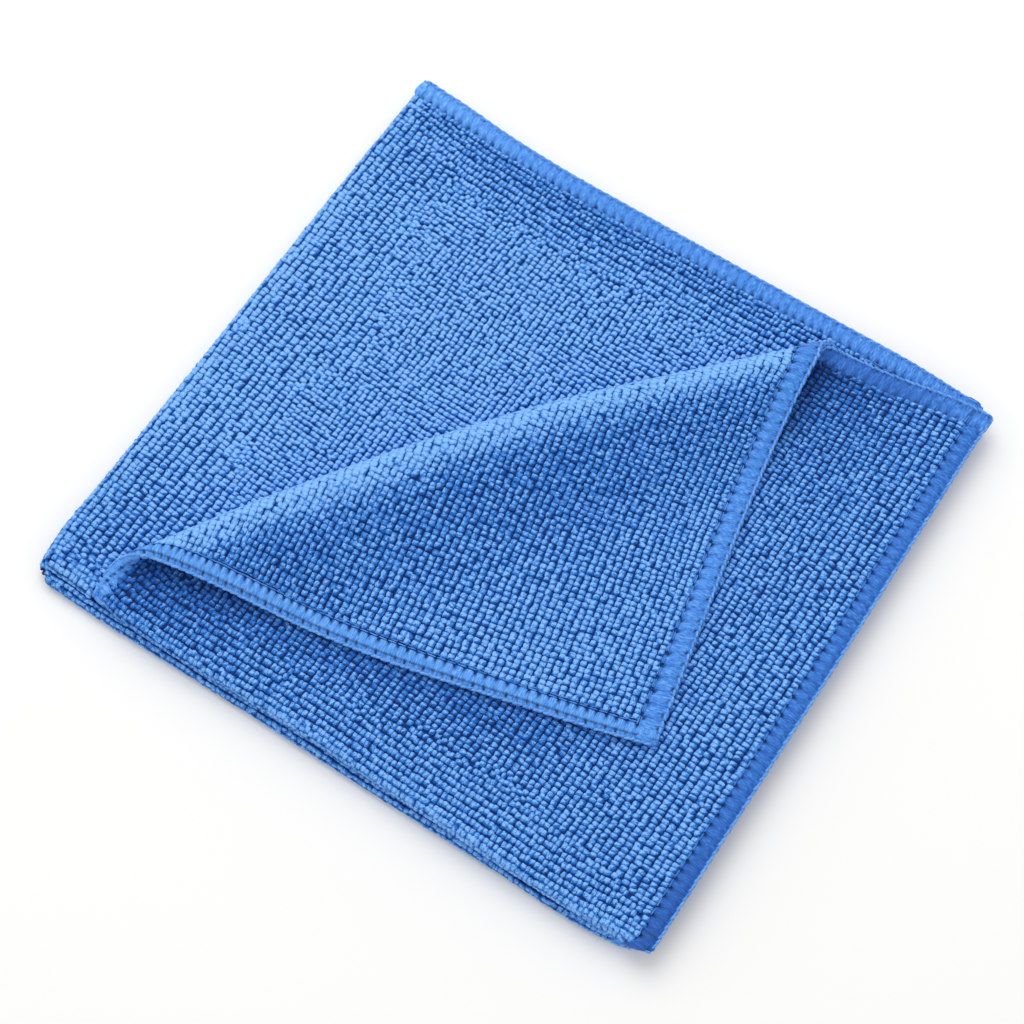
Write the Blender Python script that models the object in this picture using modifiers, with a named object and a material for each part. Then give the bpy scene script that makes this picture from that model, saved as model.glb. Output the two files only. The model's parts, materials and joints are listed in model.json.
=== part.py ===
"""Microfibre cloth, folded in four, with one corner of its top ply turned back in a soft roll.

The cloth is a single sheet. It is made flat, at its cut size, slit along one fold line, and then every point of
it is carried to where the folds put it. Solidify gives it its thickness, a little more along the hem.

Metres, +Z up. The folded cloth lies on Z = 0 with its origin under the middle of its box. X runs along the
front fold and Y from the front fold to the back hem. Flat, the sheet is measured by s and t: both are zero where
the fold lines cross, s > 0 is the half that ends up on top, and t < 0 there is the top ply.
"""

import math

import bmesh
import bpy
import numpy as np
from mathutils import Matrix

MM = 0.001
TINY = 0.01 * MM

# The knit and its hem.
THICKNESS = 1.7 * MM
HEM_THICKNESS = 2.0 * MM
HEM_WIDTH = 6.0 * MM
HEM_SLOPE = 1.2 * MM  # the width over which the hem thins to the knit
CORNER_ROUND = 2.2 * MM

# The stack of four plies: centre to centre, and so the turn of each fold.
PLY_PITCH = 2.3 * MM
FOLD_RADIUS = PLY_PITCH / 2
QUARTER_TURN = math.pi / 2 * FOLD_RADIUS
BOTTOM_PLY_Z = THICKNESS / 2
THIRD_PLY_Z = BOTTOM_PLY_Z + PLY_PITCH
SECOND_PLY_Z = BOTTOM_PLY_Z + 2 * PLY_PITCH
TOP_PLY_Z = BOTTOM_PLY_Z + 3 * PLY_PITCH

# Where the plies reach, from the corner where the two folds meet.
LOWER_WIDTH = 195.5 * MM
LOWER_DEPTH = 188.5 * MM
TOP_WIDTH = 201.0 * MM
TOP_DEPTH = 183.6 * MM
SLIT_X = 17.0 * MM  # the top ply starts here: its hemmed side is the one turned back
LEFT_EDGE_FADE = 70.0 * MM
RIGHT_EDGE_FADE = 60.0 * MM
UPPER_FOLD_FADE = 50.0 * MM
UPPER_FOLD_JOIN = 8.0 * MM  # the upper fold's offsets die out this near to the roll
LOWER_FOLD_FADE = 110.0 * MM
LOWER_END_ROUND = 2.5 * MM  # the lower front fold's left end is rounded by this much
LOWER_END_FADE = 12.0 * MM

# How far each edge of the stack is out of line: (place along the edge, offset), both in mm.
LEFT_EDGE = ((0, -0.3), (8, -1.2), (25, -0.8), (60, 0.0), (140, 0.95), (182, 1.9))  # y, x
RIGHT_EDGE = ((0, 0.45), (50, 0.25), (100, 0.1), (150, -0.55), (175, -0.75), (186, -0.3))  # y, x of the top ply
BACK_EDGE = ((0, 0.9), (15, 1.7), (30, 2.9), (55, 3.5), (80, 2.95), (115, 2.1), (150, 1.0), (175, 0.4), (190, 0.95))
UPPER_FOLD = ((0, 0.0), (14, 0.5), (22, 1.2), (40, 1.9), (60, 1.1), (95, 0.4), (165, 0.3), (180, -0.1), (195, -1.0))
LOWER_FOLD = ((0, 3.55), (30, 3.55), (60, 2.85), (105, 2.3), (155, 1.4), (185, 0.75), (195, -0.5))  # x, out

# The turned-back corner: a roll along a crease from the front fold to the back hem.
CREASE_ANGLE = math.radians(52.5)
CREASE_LENGTH = TOP_DEPTH / math.sin(CREASE_ANGLE)
FLAP_CLEARANCE = PLY_PITCH + 0.1 * MM  # ply centre to ply centre where the flap lies on the ply below
FLAP_DROP = 34.0 * MM  # the cloth comes down from the roll over this distance
BACK_PULL = 5.0 * MM  # the roll draws the top ply's back hem in by this much
BACK_PULL_X = (200.0 * MM, 50.0 * MM)  # from where along the back hem, and over how far, the pull grows
BACK_PULL_Y = (110.0 * MM, 75.0 * MM)
BACK_PUSH = 1.4 * MM  # and the top ply's far corner lies out by this much
BACK_PUSH_X = (165.0 * MM, 35.0 * MM)

# One row for each section across the crease, evenly spaced from the front fold to the back hem: the roll's
# radius, how far the crease bows out, how far the flap reaches for each length of cloth, and how far it slips
# back along the crease for each length.
SECTIONS = (
    {"radius": 3.4 * MM, "bow": 0.0 * MM, "reach": 1.03, "slip": -0.40},
    {"radius": 3.7 * MM, "bow": 5.0 * MM, "reach": 1.13, "slip": -0.40},
    {"radius": 3.9 * MM, "bow": 6.5 * MM, "reach": 1.12, "slip": -0.20},
    {"radius": 4.2 * MM, "bow": 4.0 * MM, "reach": 1.00, "slip": -0.13},
    {"radius": 5.0 * MM, "bow": 0.0 * MM, "reach": 0.89, "slip": -0.22},
)

# Slow waves in the plies: height, and the lengths of one wave along X and Y.
WAVE_HEIGHT = 0.22 * MM
WAVE_LENGTH_X = 84.0 * MM
WAVE_LENGTH_Y = 61.0 * MM
WAVE_FADE = 30.0 * MM  # they die out over this distance from the stack's edges

# How finely the sheet is cut up.
CELL = 9.5 * MM
LOWER_CELL = 17.0 * MM
FOLD_STEPS = 6
ROLL_CUTS = (-0.9, 0.0) + tuple(math.pi * k / 8 for k in range(1, 9))
DROP_CUTS = (math.pi + 1.4, math.pi + 3.2, math.pi + 5.4, math.pi + 8.6)
CUT_SCALE = 4.0 * MM  # one radian of the roll, as a length, while the crease lines are cut

CLOTH_BLUE = (0.055, 0.205, 0.68, 1.0)
CLOTH_ROUGHNESS = 0.85


def smooth(share):
    """0 to 1 as share goes from 0 to 1, level at both ends."""
    share = min(max(share, 0.0), 1.0)
    return share * share * (3.0 - 2.0 * share)


def curve(rows, place):
    """The value at this place on a smooth curve through rows of (place, value), level past both ends."""
    places, values = zip(*rows)
    place = min(max(place, places[0]), places[-1])
    index = max(k for k in range(len(places) - 1) if k == 0 or places[k] <= place)
    gap = places[index + 1] - places[index]
    f = (place - places[index]) / gap
    slopes = np.gradient(values, places) * gap
    return (
        (2 * f**3 - 3 * f**2 + 1) * values[index]
        + (f**3 - 2 * f**2 + f) * slopes[index]
        + (3 * f**2 - 2 * f**3) * values[index + 1]
        + (f**3 - f**2) * slopes[index + 1]
    )


def section(column, share):
    """A value of SECTIONS at this share of the crease."""
    return curve([(k / (len(SECTIONS) - 1), row[column]) for k, row in enumerate(SECTIONS)], share)


def crease_coordinates(x, y):
    """(distance along the crease, turn round the roll in radians) of a point of the top ply, still laid flat."""
    along = (x - SLIT_X) * math.cos(CREASE_ANGLE) + y * math.sin(CREASE_ANGLE)
    across = y * math.cos(CREASE_ANGLE) - (x - SLIT_X) * math.sin(CREASE_ANGLE)
    share = along / CREASE_LENGTH
    return along, (across - section("bow", share)) / section("radius", share)


def laid_flat(along, turn):
    """The point (x, y) of the top ply that has these crease coordinates."""
    share = along / CREASE_LENGTH
    across = turn * section("radius", share) + section("bow", share)
    return (
        SLIT_X + along * math.cos(CREASE_ANGLE) - across * math.sin(CREASE_ANGLE),
        along * math.sin(CREASE_ANGLE) + across * math.cos(CREASE_ANGLE),
    )


def wave(x, y):
    """The slow unevenness of the stack, as a height."""
    edge = min(x, y, LOWER_WIDTH - x, TOP_DEPTH - y)
    swell = math.sin(2 * math.pi * x / WAVE_LENGTH_X + 0.7) * math.cos(2 * math.pi * y / WAVE_LENGTH_Y)
    return WAVE_HEIGHT * swell * smooth(edge / WAVE_FADE)


def top_ply_point(along, turn):
    """Where a point of the top ply ends up, turned back if it lies past the crease."""
    share = along / CREASE_LENGTH
    radius = section("radius", share)
    bow = section("bow", share)
    free = max(turn - math.pi, 0.0) * radius
    if turn <= 0.0:
        across, rise = turn * radius, 0.0
    else:
        angle = min(turn, math.pi)
        across = radius * math.sin(angle) - section("reach", share) * free
        rise = radius * (1.0 - math.cos(angle))
    if free > 0.0:
        rise += (FLAP_CLEARANCE - rise) * smooth(free / FLAP_DROP)
    across += bow
    along += section("slip", share) * free
    x = SLIT_X + along * math.cos(CREASE_ANGLE) - across * math.sin(CREASE_ANGLE)
    y = along * math.sin(CREASE_ANGLE) + across * math.cos(CREASE_ANGLE)
    pull = BACK_PULL * smooth((BACK_PULL_X[0] - x) / BACK_PULL_X[1])
    push = BACK_PUSH * smooth((x - BACK_PUSH_X[0]) / BACK_PUSH_X[1])
    moved = (push - pull) * smooth((y - BACK_PULL_Y[0]) / BACK_PULL_Y[1])
    moved -= upper_fold(x, y) * smooth(-turn * radius / UPPER_FOLD_JOIN)
    return right_edge(x, y), y + moved, TOP_PLY_Z + rise + wave(x, y)


def right_edge(x, y):
    """x of a point of the top ply, with its right edge's offsets."""
    return x + curve(RIGHT_EDGE, y / MM) * MM * smooth(1.0 - (TOP_WIDTH - x) / RIGHT_EDGE_FADE)


def back_edge(x, y):
    """y of a point of a lower ply, with the back hem's offsets."""
    return y - curve(BACK_EDGE, x / MM) * MM * smooth(y / LOWER_DEPTH)


def left_edge(x, y):
    """x of a point of the plies under the top one, with the left fold's offsets."""
    return x + curve(LEFT_EDGE, y / MM) * MM * (1.0 - smooth(x / LEFT_EDGE_FADE))


def upper_fold(x, y):
    """How far the two upper plies lie out to the front at this point."""
    return curve(UPPER_FOLD, x / MM) * MM * (1.0 - smooth(y / UPPER_FOLD_FADE))


def lower_fold(x, y):
    """How far the two lower plies lie out to the front at this point."""
    return curve(LOWER_FOLD, x / MM) * MM * (1.0 - smooth(y / LOWER_FOLD_FADE))


def top_ply_x(s):
    """x of the top ply, which is drawn out past the plies under it."""
    x = s - QUARTER_TURN
    return SLIT_X + (x - SLIT_X) * (TOP_WIDTH - SLIT_X) / (LOWER_WIDTH - SLIT_X)


def left_fold_point(s, t):
    """The fold at the left, which joins the second ply to the third, and the rounded front corner of it."""
    left = QUARTER_TURN - s
    front = max(QUARTER_TURN - t, 0.0)
    if left >= front:
        length, heading = left, math.pi / 4 * front / left
    else:
        length, heading = front, math.pi / 2 - math.pi / 4 * left / front
    turn = length / FOLD_RADIUS
    y = max(t - QUARTER_TURN, 0.0) - FOLD_RADIUS * math.sin(turn) * math.sin(heading)
    lowered = (1.0 - math.cos(turn)) / 2 * math.cos(heading)
    return (
        left_edge(-FOLD_RADIUS * math.sin(turn) * math.cos(heading), y),
        back_edge(0.0, y) - lower_fold(0.0, y) * lowered,
        SECOND_PLY_Z - FOLD_RADIUS * (1.0 - math.cos(turn)),
    )


def tucked_edge_point(s, t):
    """The second ply's front edge left of the slit, which curls down."""
    turn = (QUARTER_TURN - t) / FOLD_RADIUS
    x = left_edge(s - QUARTER_TURN, 0.0)
    return (
        x,
        -upper_fold(x, 0.0) - FOLD_RADIUS * math.sin(turn),
        SECOND_PLY_Z - FOLD_RADIUS * (1.0 - math.cos(turn)),
    )


def upper_fold_point(s, t):
    """The upper front fold, from the second ply up to the top one."""
    turn = (QUARTER_TURN - t) / FOLD_RADIUS
    share = (1.0 - math.cos(turn)) / 2
    low_x, high_x = s - QUARTER_TURN, top_ply_x(s)
    join = smooth((high_x - SLIT_X) * math.sin(CREASE_ANGLE) / UPPER_FOLD_JOIN)
    out = upper_fold(low_x, 0.0) * (1.0 - share) + upper_fold(high_x, 0.0) * join * share
    return (
        left_edge(low_x, 0.0) * (1.0 - share) + right_edge(high_x, 0.0) * share,
        -out - FOLD_RADIUS * math.sin(turn),
        SECOND_PLY_Z + FOLD_RADIUS * (1.0 - math.cos(turn)),
    )


def lower_pair_point(s, t, half_thickness):
    """The third ply, the lower front fold and the bottom ply."""
    x = -s - QUARTER_TURN
    if t >= QUARTER_TURN - TINY:
        y = t - QUARTER_TURN
        return left_edge(x, y), back_edge(x, y) - lower_fold(x, y), THIRD_PLY_Z + wave(x, y) / 2
    if t <= -QUARTER_TURN + TINY:
        y = -t - QUARTER_TURN
        return left_edge(x, y), y - lower_fold(x, y), half_thickness
    turn = (QUARTER_TURN - t) / FOLD_RADIUS
    end = LOWER_END_ROUND * math.sin(turn) ** 2 * (1.0 - smooth(x / LOWER_END_FADE))
    lower = (1.0 - math.cos(turn)) / 2
    rise = FOLD_RADIUS * (1.0 + math.cos(turn))
    return (
        left_edge(x, 0.0) + end,
        -lower_fold(x, 0.0) - FOLD_RADIUS * math.sin(turn),
        BOTTOM_PLY_Z * (1.0 - lower) + half_thickness * lower + rise,
    )


def folded_point(s, t, left_of_slit, half_thickness):
    """Where the folds put a point of the flat sheet, the top ply's own part left out."""
    if s <= -QUARTER_TURN + TINY:
        return lower_pair_point(s, t, half_thickness)
    if s < QUARTER_TURN - TINY:
        return left_fold_point(s, t)
    if t >= QUARTER_TURN - TINY:
        x, y = s - QUARTER_TURN, t - QUARTER_TURN
        return left_edge(x, y), back_edge(x, y) - upper_fold(x, y), SECOND_PLY_Z + wave(x, y)
    return tucked_edge_point(s, t) if left_of_slit else upper_fold_point(s, t)


def hem_share(distance):
    """1 on the hem and 0 past it, for a distance from the cut edge."""
    return 1.0 - smooth((distance - HEM_WIDTH) / HEM_SLOPE)


def filled(stops, cell):
    """These grid lines, with evenly spaced ones between any two that are more than a cell apart."""
    lines = [stops[0]]
    for start, end in zip(stops, stops[1:]):
        count = max(1, math.ceil((end - start) / cell))
        lines += [start + (end - start) * k / count for k in range(1, count + 1)]
    return lines


def flat_sheet():
    """(the sheet as it is cut, as a bmesh with grid lines at its hems and folds; the slit's s)."""
    slit = SLIT_X + QUARTER_TURN
    side, back, top = LOWER_WIDTH + QUARTER_TURN, LOWER_DEPTH + QUARTER_TURN, TOP_DEPTH + QUARTER_TURN
    hem = (0.0, CORNER_ROUND, HEM_WIDTH, HEM_WIDTH + HEM_SLOPE)
    fold = [QUARTER_TURN * (2 * k / FOLD_STEPS - 1) for k in range(1, FOLD_STEPS)]
    bottom_ply = [-side + d for d in hem] + [-QUARTER_TURN - d for d in reversed(hem)]
    upper_plies = [QUARTER_TURN] + [slit + d for d in hem] + [side - d for d in reversed(hem)]
    columns = filled(bottom_ply, LOWER_CELL) + fold + filled(upper_plies, CELL)
    rows = filled([-top + d for d in hem] + [-QUARTER_TURN], CELL)
    rows += fold + filled([QUARTER_TURN] + [back - d for d in reversed(hem)], LOWER_CELL)
    sheet = bmesh.new()
    bmesh.ops.create_grid(sheet, x_segments=len(columns) - 1, y_segments=len(rows) - 1, size=0.5)
    for vert in sheet.verts:
        column = round((vert.co.x + 0.5) * (len(columns) - 1))
        row = round((vert.co.y + 0.5) * (len(rows) - 1))
        vert.co.x, vert.co.y = columns[column], rows[row]
    cut_out = []
    for face in sheet.faces:
        middle = face.calc_center_median()
        beside_slit = -QUARTER_TURN < middle.x < slit and middle.y < 0.0
        under_corner = -QUARTER_TURN < middle.x < 0.0 and middle.y < QUARTER_TURN
        if beside_slit or under_corner:
            cut_out.append(face)
    bmesh.ops.delete(sheet, geom=cut_out, context="FACES")
    snip = [
        edge
        for edge in sheet.edges
        if len(edge.link_faces) == 2
        and all(abs(vert.co.x - slit) < TINY and -TINY < vert.co.y < QUARTER_TURN + TINY for vert in edge.verts)
    ]
    bmesh.ops.split_edges(sheet, edges=snip)
    round_corners(sheet)
    return sheet, slit


def round_corners(sheet):
    """Draws in the sheet's outer corners, as the turn of the hem does."""
    for vert in sheet.verts:
        if len(vert.link_faces) != 1:
            continue
        if min(edge.calc_length() for edge in vert.link_edges) < CORNER_ROUND - TINY:
            continue
        inward = vert.link_faces[0].calc_center_median() - vert.co
        draw_in = CORNER_ROUND * (1.0 - math.sqrt(0.5))
        vert.co.x += math.copysign(draw_in, inward.x)
        vert.co.y += math.copysign(draw_in, inward.y)


def cut_crease_lines(sheet, top_faces):
    """Cuts the top ply along the roll, so that the roll bends on straight edges. Its points are left in crease
    coordinates, and all of them are returned."""
    points = {vert for face in top_faces for vert in face.verts}
    for vert in points:
        along, turn = crease_coordinates(top_ply_x(vert.co.x), -vert.co.y - QUARTER_TURN)
        vert.co = (along, turn * CUT_SCALE, 0.0)
    faces = set(top_faces)
    for turn in ROLL_CUTS + DROP_CUTS:
        edges = {edge for face in faces for edge in face.edges}
        cut = bmesh.ops.bisect_plane(
            sheet,
            geom=list(points) + list(edges) + list(faces),
            dist=0.02 * MM,
            plane_co=(0.0, turn * CUT_SCALE, 0.0),
            plane_no=(0.0, 1.0, 0.0),
        )
        points |= {item for item in cut["geom_cut"] if isinstance(item, bmesh.types.BMVert)}
        faces = {face for face in sheet.faces if all(vert in points for vert in face.verts)}
    return points


def edge_distance(s, t, slit):
    """How far a point of the flat sheet is from the cut edge, the top ply's own part left out."""
    edge = min(LOWER_WIDTH + QUARTER_TURN - abs(s), LOWER_DEPTH + QUARTER_TURN - t, TOP_DEPTH + QUARTER_TURN + t)
    if t < QUARTER_TURN - TINY and s >= slit - TINY:
        edge = min(edge, s - slit)
    if t < QUARTER_TURN - TINY and s < 0.0:
        edge = min(edge, abs(s + QUARTER_TURN))
    return edge


def fold_sheet():
    """The folded middle surface of the cloth, as a bmesh, with each point's share of hem."""
    sheet, slit = flat_sheet()
    hem = {}
    middles = {face: face.calc_center_median() for face in sheet.faces}
    top_faces = [face for face, middle in middles.items() if middle.x > slit and middle.y < -QUARTER_TURN]
    left_of_slit = {vert for vert in sheet.verts if max(middles[face].x for face in vert.link_faces) < slit}
    top_points = cut_crease_lines(sheet, top_faces)
    for vert in sheet.verts:
        if vert in top_points:
            along, turn = vert.co.x, vert.co.y / CUT_SCALE
            x, y = laid_flat(along, turn)
            hem[vert] = hem_share(min(x - SLIT_X, TOP_WIDTH - x, TOP_DEPTH - y))
            vert.co = top_ply_point(along, turn)
            continue
        s, t = vert.co.x, vert.co.y
        hem[vert] = hem_share(edge_distance(s, t, slit))
        half = (THICKNESS + (HEM_THICKNESS - THICKNESS) * hem[vert]) / 2
        vert.co = folded_point(s, t, vert in left_of_slit, half)
    return sheet, hem


def cloth_material():
    """Dyed polyester and polyamide microfibre: matt, mid blue."""
    material = bpy.data.materials.new("blue_microfibre")
    material.use_nodes = True
    shader = material.node_tree.nodes["Principled BSDF"]
    shader.inputs["Base Color"].default_value = CLOTH_BLUE
    shader.inputs["Roughness"].default_value = CLOTH_ROUGHNESS
    shader.inputs["Metallic"].default_value = 0.0
    material.diffuse_color = CLOTH_BLUE
    return material


def build_cloth(collection):
    """The folded cloth as one object: the folded sheet, made thick."""
    sheet, hem = fold_sheet()
    sheet.verts.index_update()
    shares = {vert.index: share for vert, share in hem.items()}
    bmesh.ops.recalc_face_normals(sheet, faces=sheet.faces)
    mesh = bpy.data.meshes.new("cloth")
    sheet.to_mesh(mesh)
    sheet.free()
    cloth = bpy.data.objects.new("cloth", mesh)
    collection.objects.link(cloth)
    thick = cloth.vertex_groups.new(name="hem")
    for index, share in shares.items():
        thick.add([index], share, "REPLACE")
    solid = cloth.modifiers.new("thickness", "SOLIDIFY")
    solid.thickness = HEM_THICKNESS
    solid.offset = 0.0
    solid.use_even_offset = True
    solid.vertex_group = thick.name
    solid.thickness_vertex_group = THICKNESS / HEM_THICKNESS
    bpy.context.view_layer.update()
    corners = np.array(cloth.evaluated_get(bpy.context.evaluated_depsgraph_get()).bound_box)
    middle = (corners.min(axis=0) + corners.max(axis=0)) / 2
    mesh.transform(Matrix.Translation((-middle[0], -middle[1], 0.0)))
    mesh.shade_smooth()
    mesh.materials.append(cloth_material())
    return cloth


def main():
    for old in list(bpy.data.objects):
        bpy.data.objects.remove(old, do_unlink=True)
    collection = bpy.data.collections.new("microfibre_cloth")
    bpy.context.scene.collection.children.link(collection)
    build_cloth(collection)


main()
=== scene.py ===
"""Microfibre cloth folded in four, one corner of its top ply turned back in a soft roll.

The folds are the solid's own, point for point. The cloth is laid out flat by s and t, both zero where the two
fold lines cross: s > 0 is the half that ends on top, and t < 0 there is the top ply. Metres, +Z up.
"""

from __future__ import annotations

import json
import logging
import math
from dataclasses import dataclass
from enum import Enum
from typing import Callable

import bmesh
import bpy
import numpy as np
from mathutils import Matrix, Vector
from mathutils.kdtree import KDTree

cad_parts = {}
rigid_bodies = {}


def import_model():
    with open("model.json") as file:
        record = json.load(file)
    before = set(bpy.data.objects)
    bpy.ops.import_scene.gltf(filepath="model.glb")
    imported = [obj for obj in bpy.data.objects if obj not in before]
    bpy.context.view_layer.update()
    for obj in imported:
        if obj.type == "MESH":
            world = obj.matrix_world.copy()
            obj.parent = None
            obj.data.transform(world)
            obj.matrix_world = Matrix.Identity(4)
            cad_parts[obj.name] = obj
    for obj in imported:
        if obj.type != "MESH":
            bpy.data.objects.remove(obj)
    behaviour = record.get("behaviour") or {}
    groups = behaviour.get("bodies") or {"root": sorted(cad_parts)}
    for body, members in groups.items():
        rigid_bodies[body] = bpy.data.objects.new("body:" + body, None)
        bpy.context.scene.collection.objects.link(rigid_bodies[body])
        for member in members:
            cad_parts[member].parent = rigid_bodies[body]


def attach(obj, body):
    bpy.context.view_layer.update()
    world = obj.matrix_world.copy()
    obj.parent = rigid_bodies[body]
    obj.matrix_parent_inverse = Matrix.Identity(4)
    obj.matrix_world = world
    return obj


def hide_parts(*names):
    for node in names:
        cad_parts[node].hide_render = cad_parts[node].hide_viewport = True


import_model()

LOG = logging.getLogger("microfibre_cloth")
MM = 0.001
STEP = 0.12 * MM  # how far to each side of a place its directions on the cloth are taken
Array = np.ndarray
Tree = bpy.types.NodeTree
Socket = bpy.types.NodeSocket


def eased(share: Array | float) -> Array:
    """0 to 1 as share goes from 0 to 1, level at both ends."""
    share = np.clip(share, 0.0, 1.0)
    return share * share * (3.0 - 2.0 * share)


def bell(place: Array, middle: float, run: float) -> Array:
    """1 at the middle, falling away to both sides over a run."""
    return np.exp(-(((place - middle) / run) ** 2))


def unit(vectors: Array) -> Array:
    """The same directions, each of length 1."""
    return vectors / np.maximum(np.linalg.norm(vectors, axis=-1, keepdims=True), 1e-12)


def turned(first: Array, second: Array, angle: Array) -> tuple[Array, Array]:
    """Two directions that are square to each other, turned by an angle from the first to the second."""
    cos, sin = np.cos(angle)[:, None], np.sin(angle)[:, None]
    return first * cos + second * sin, second * cos - first * sin


def linear(colour: str) -> tuple[float, float, float, float]:
    """The linear RGBA of an sRGB hex colour.

    Args:
        colour: six hex digits after a hash sign.

    Returns:
        Red, green, blue and an alpha of 1.
    """
    parts = [int(colour[k : k + 2], 16) / 255 for k in (1, 3, 5)]
    bent = [part / 12.92 if part <= 0.04045 else ((part + 0.055) / 1.055) ** 2.4 for part in parts]
    return (bent[0], bent[1], bent[2], 1.0)


@dataclass(frozen=True)
class Curve:
    """A smooth curve through rows of (place, value), level past both ends."""

    rows: tuple[tuple[float, float], ...]

    def at(self, place: Array | float) -> Array:
        """The curve's value.

        Args:
            place: where along the curve.

        Returns:
            One value for each place.
        """
        places, values = (np.array(column, float) for column in zip(*self.rows))
        place = np.clip(place, places[0], places[-1])
        index = np.clip(np.searchsorted(places, place, side="right") - 1, 0, len(places) - 2)
        gap = places[index + 1] - places[index]
        f = (place - places[index]) / gap
        slopes = np.gradient(values, places)
        return (
            (2 * f**3 - 3 * f**2 + 1) * values[index]
            + (f**3 - 2 * f**2 + f) * slopes[index] * gap
            + (3 * f**2 - 2 * f**3) * values[index + 1]
            + (f**3 - f**2) * slopes[index + 1] * gap
        )


@dataclass(frozen=True)
class FoldedSheet:
    """Where the folds put each point of the flat cloth, in the solid's own sizes.

    The curves of offsets, radii and bows are in millimetres.
    """

    pitch: float = 2.3 * MM
    middle: float = 0.85 * MM
    lower_width: float = 195.5 * MM
    lower_depth: float = 188.5 * MM
    top_width: float = 201.0 * MM
    top_depth: float = 183.6 * MM
    slit_x: float = 17.0 * MM
    crease_angle: float = math.radians(52.5)
    flap_drop: float = 34.0 * MM
    centring: tuple[float, float] = (-99.1147 * MM, -91.1835 * MM)
    left_offsets: Curve = Curve(((0, -0.3), (8, -1.2), (25, -0.8), (60, 0.0), (140, 0.95), (182, 1.9)))
    right_offsets: Curve = Curve(((0, 0.45), (50, 0.25), (100, 0.1), (150, -0.55), (175, -0.75), (186, -0.3)))
    back_offsets: Curve = Curve(
        ((0, 0.9), (15, 1.7), (30, 2.9), (55, 3.5), (80, 2.95), (115, 2.1), (150, 1), (175, 0.4), (190, 0.95))
    )
    upper_offsets: Curve = Curve(
        ((0, 0), (14, 0.5), (22, 1.2), (40, 1.9), (60, 1.1), (95, 0.4), (165, 0.3), (180, -0.1), (195, -1.0))
    )
    lower_offsets: Curve = Curve(
        ((0, 3.55), (30, 3.55), (60, 2.85), (105, 2.3), (155, 1.4), (185, 0.75), (195, -0.5))
    )
    radii: Curve = Curve(((0.0, 3.4), (0.25, 3.7), (0.5, 3.9), (0.75, 4.2), (1.0, 5.0)))
    bows: Curve = Curve(((0.0, 0.0), (0.25, 5.0), (0.5, 6.5), (0.75, 4.0), (1.0, 0.0)))
    reaches: Curve = Curve(((0.0, 1.03), (0.25, 1.13), (0.5, 1.12), (0.75, 1.0), (1.0, 0.89)))
    slips: Curve = Curve(((0.0, -0.40), (0.25, -0.40), (0.5, -0.20), (0.75, -0.13), (1.0, -0.22)))

    @property
    def radius(self) -> float:
        """The radius of the folds between plies."""
        return self.pitch / 2

    @property
    def quarter(self) -> float:
        """The length of cloth in a quarter turn of a fold."""
        return math.pi / 2 * self.radius

    @property
    def slit(self) -> float:
        """The s of the top ply's own left edge."""
        return self.slit_x + self.quarter

    @property
    def side(self) -> float:
        """The s of the cut edge at the right."""
        return self.lower_width + self.quarter

    @property
    def back(self) -> float:
        """The t of the cut edge at the back of the two middle plies."""
        return self.lower_depth + self.quarter

    @property
    def top(self) -> float:
        """The -t of the cut edge at the back of the top and bottom plies."""
        return self.top_depth + self.quarter

    @property
    def crease_length(self) -> float:
        """The length of the roll's crease."""
        return self.top_depth / math.sin(self.crease_angle)

    def left_edge(self, x: Array, y: Array) -> Array:
        """x with the left fold's offsets."""
        return x + self.left_offsets.at(y / MM) * MM * (1.0 - eased(x / (70 * MM)))

    def right_edge(self, x: Array, y: Array) -> Array:
        """x of the top ply, with its right edge's offsets."""
        return x + self.right_offsets.at(y / MM) * MM * eased(1.0 - (self.top_width - x) / (60 * MM))

    def back_edge(self, x: Array, y: Array) -> Array:
        """y of a lower ply, with the back hem's offsets."""
        return y - self.back_offsets.at(x / MM) * MM * eased(y / self.lower_depth)

    def upper_fold(self, x: Array, y: Array) -> Array:
        """How far the two upper plies lie out to the front."""
        return self.upper_offsets.at(x / MM) * MM * (1.0 - eased(y / (50 * MM)))

    def lower_fold(self, x: Array, y: Array) -> Array:
        """How far the two lower plies lie out to the front."""
        return self.lower_offsets.at(x / MM) * MM * (1.0 - eased(y / (110 * MM)))

    def wave(self, x: Array, y: Array) -> Array:
        """The slow unevenness of the stack, as a height."""
        edge = np.minimum(np.minimum(x, y), np.minimum(self.lower_width - x, self.top_depth - y))
        swell = np.sin(2 * math.pi * x / (84 * MM) + 0.7) * np.cos(2 * math.pi * y / (61 * MM))
        return 0.22 * MM * swell * eased(edge / (30 * MM))

    def top_x(self, s: Array) -> Array:
        """x of the top ply while it is still flat."""
        x = s - self.quarter
        wider, narrower = self.top_width - self.slit_x, self.lower_width - self.slit_x
        return self.slit_x + (x - self.slit_x) * wider / narrower

    def crease_place(self, s: Array, t: Array) -> tuple[Array, Array, Array]:
        """Crease coordinates of points of the top ply.

        Args:
            s: flat s.
            t: flat t.

        Returns:
            The distance along the crease, the turn round the roll in radians and the roll's radius.
        """
        x, y = self.top_x(s), -t - self.quarter
        along = (x - self.slit_x) * math.cos(self.crease_angle) + y * math.sin(self.crease_angle)
        across = y * math.cos(self.crease_angle) - (x - self.slit_x) * math.sin(self.crease_angle)
        share = along / self.crease_length
        radius = self.radii.at(share) * MM
        return along, (across - self.bows.at(share) * MM) / radius, radius

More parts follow.
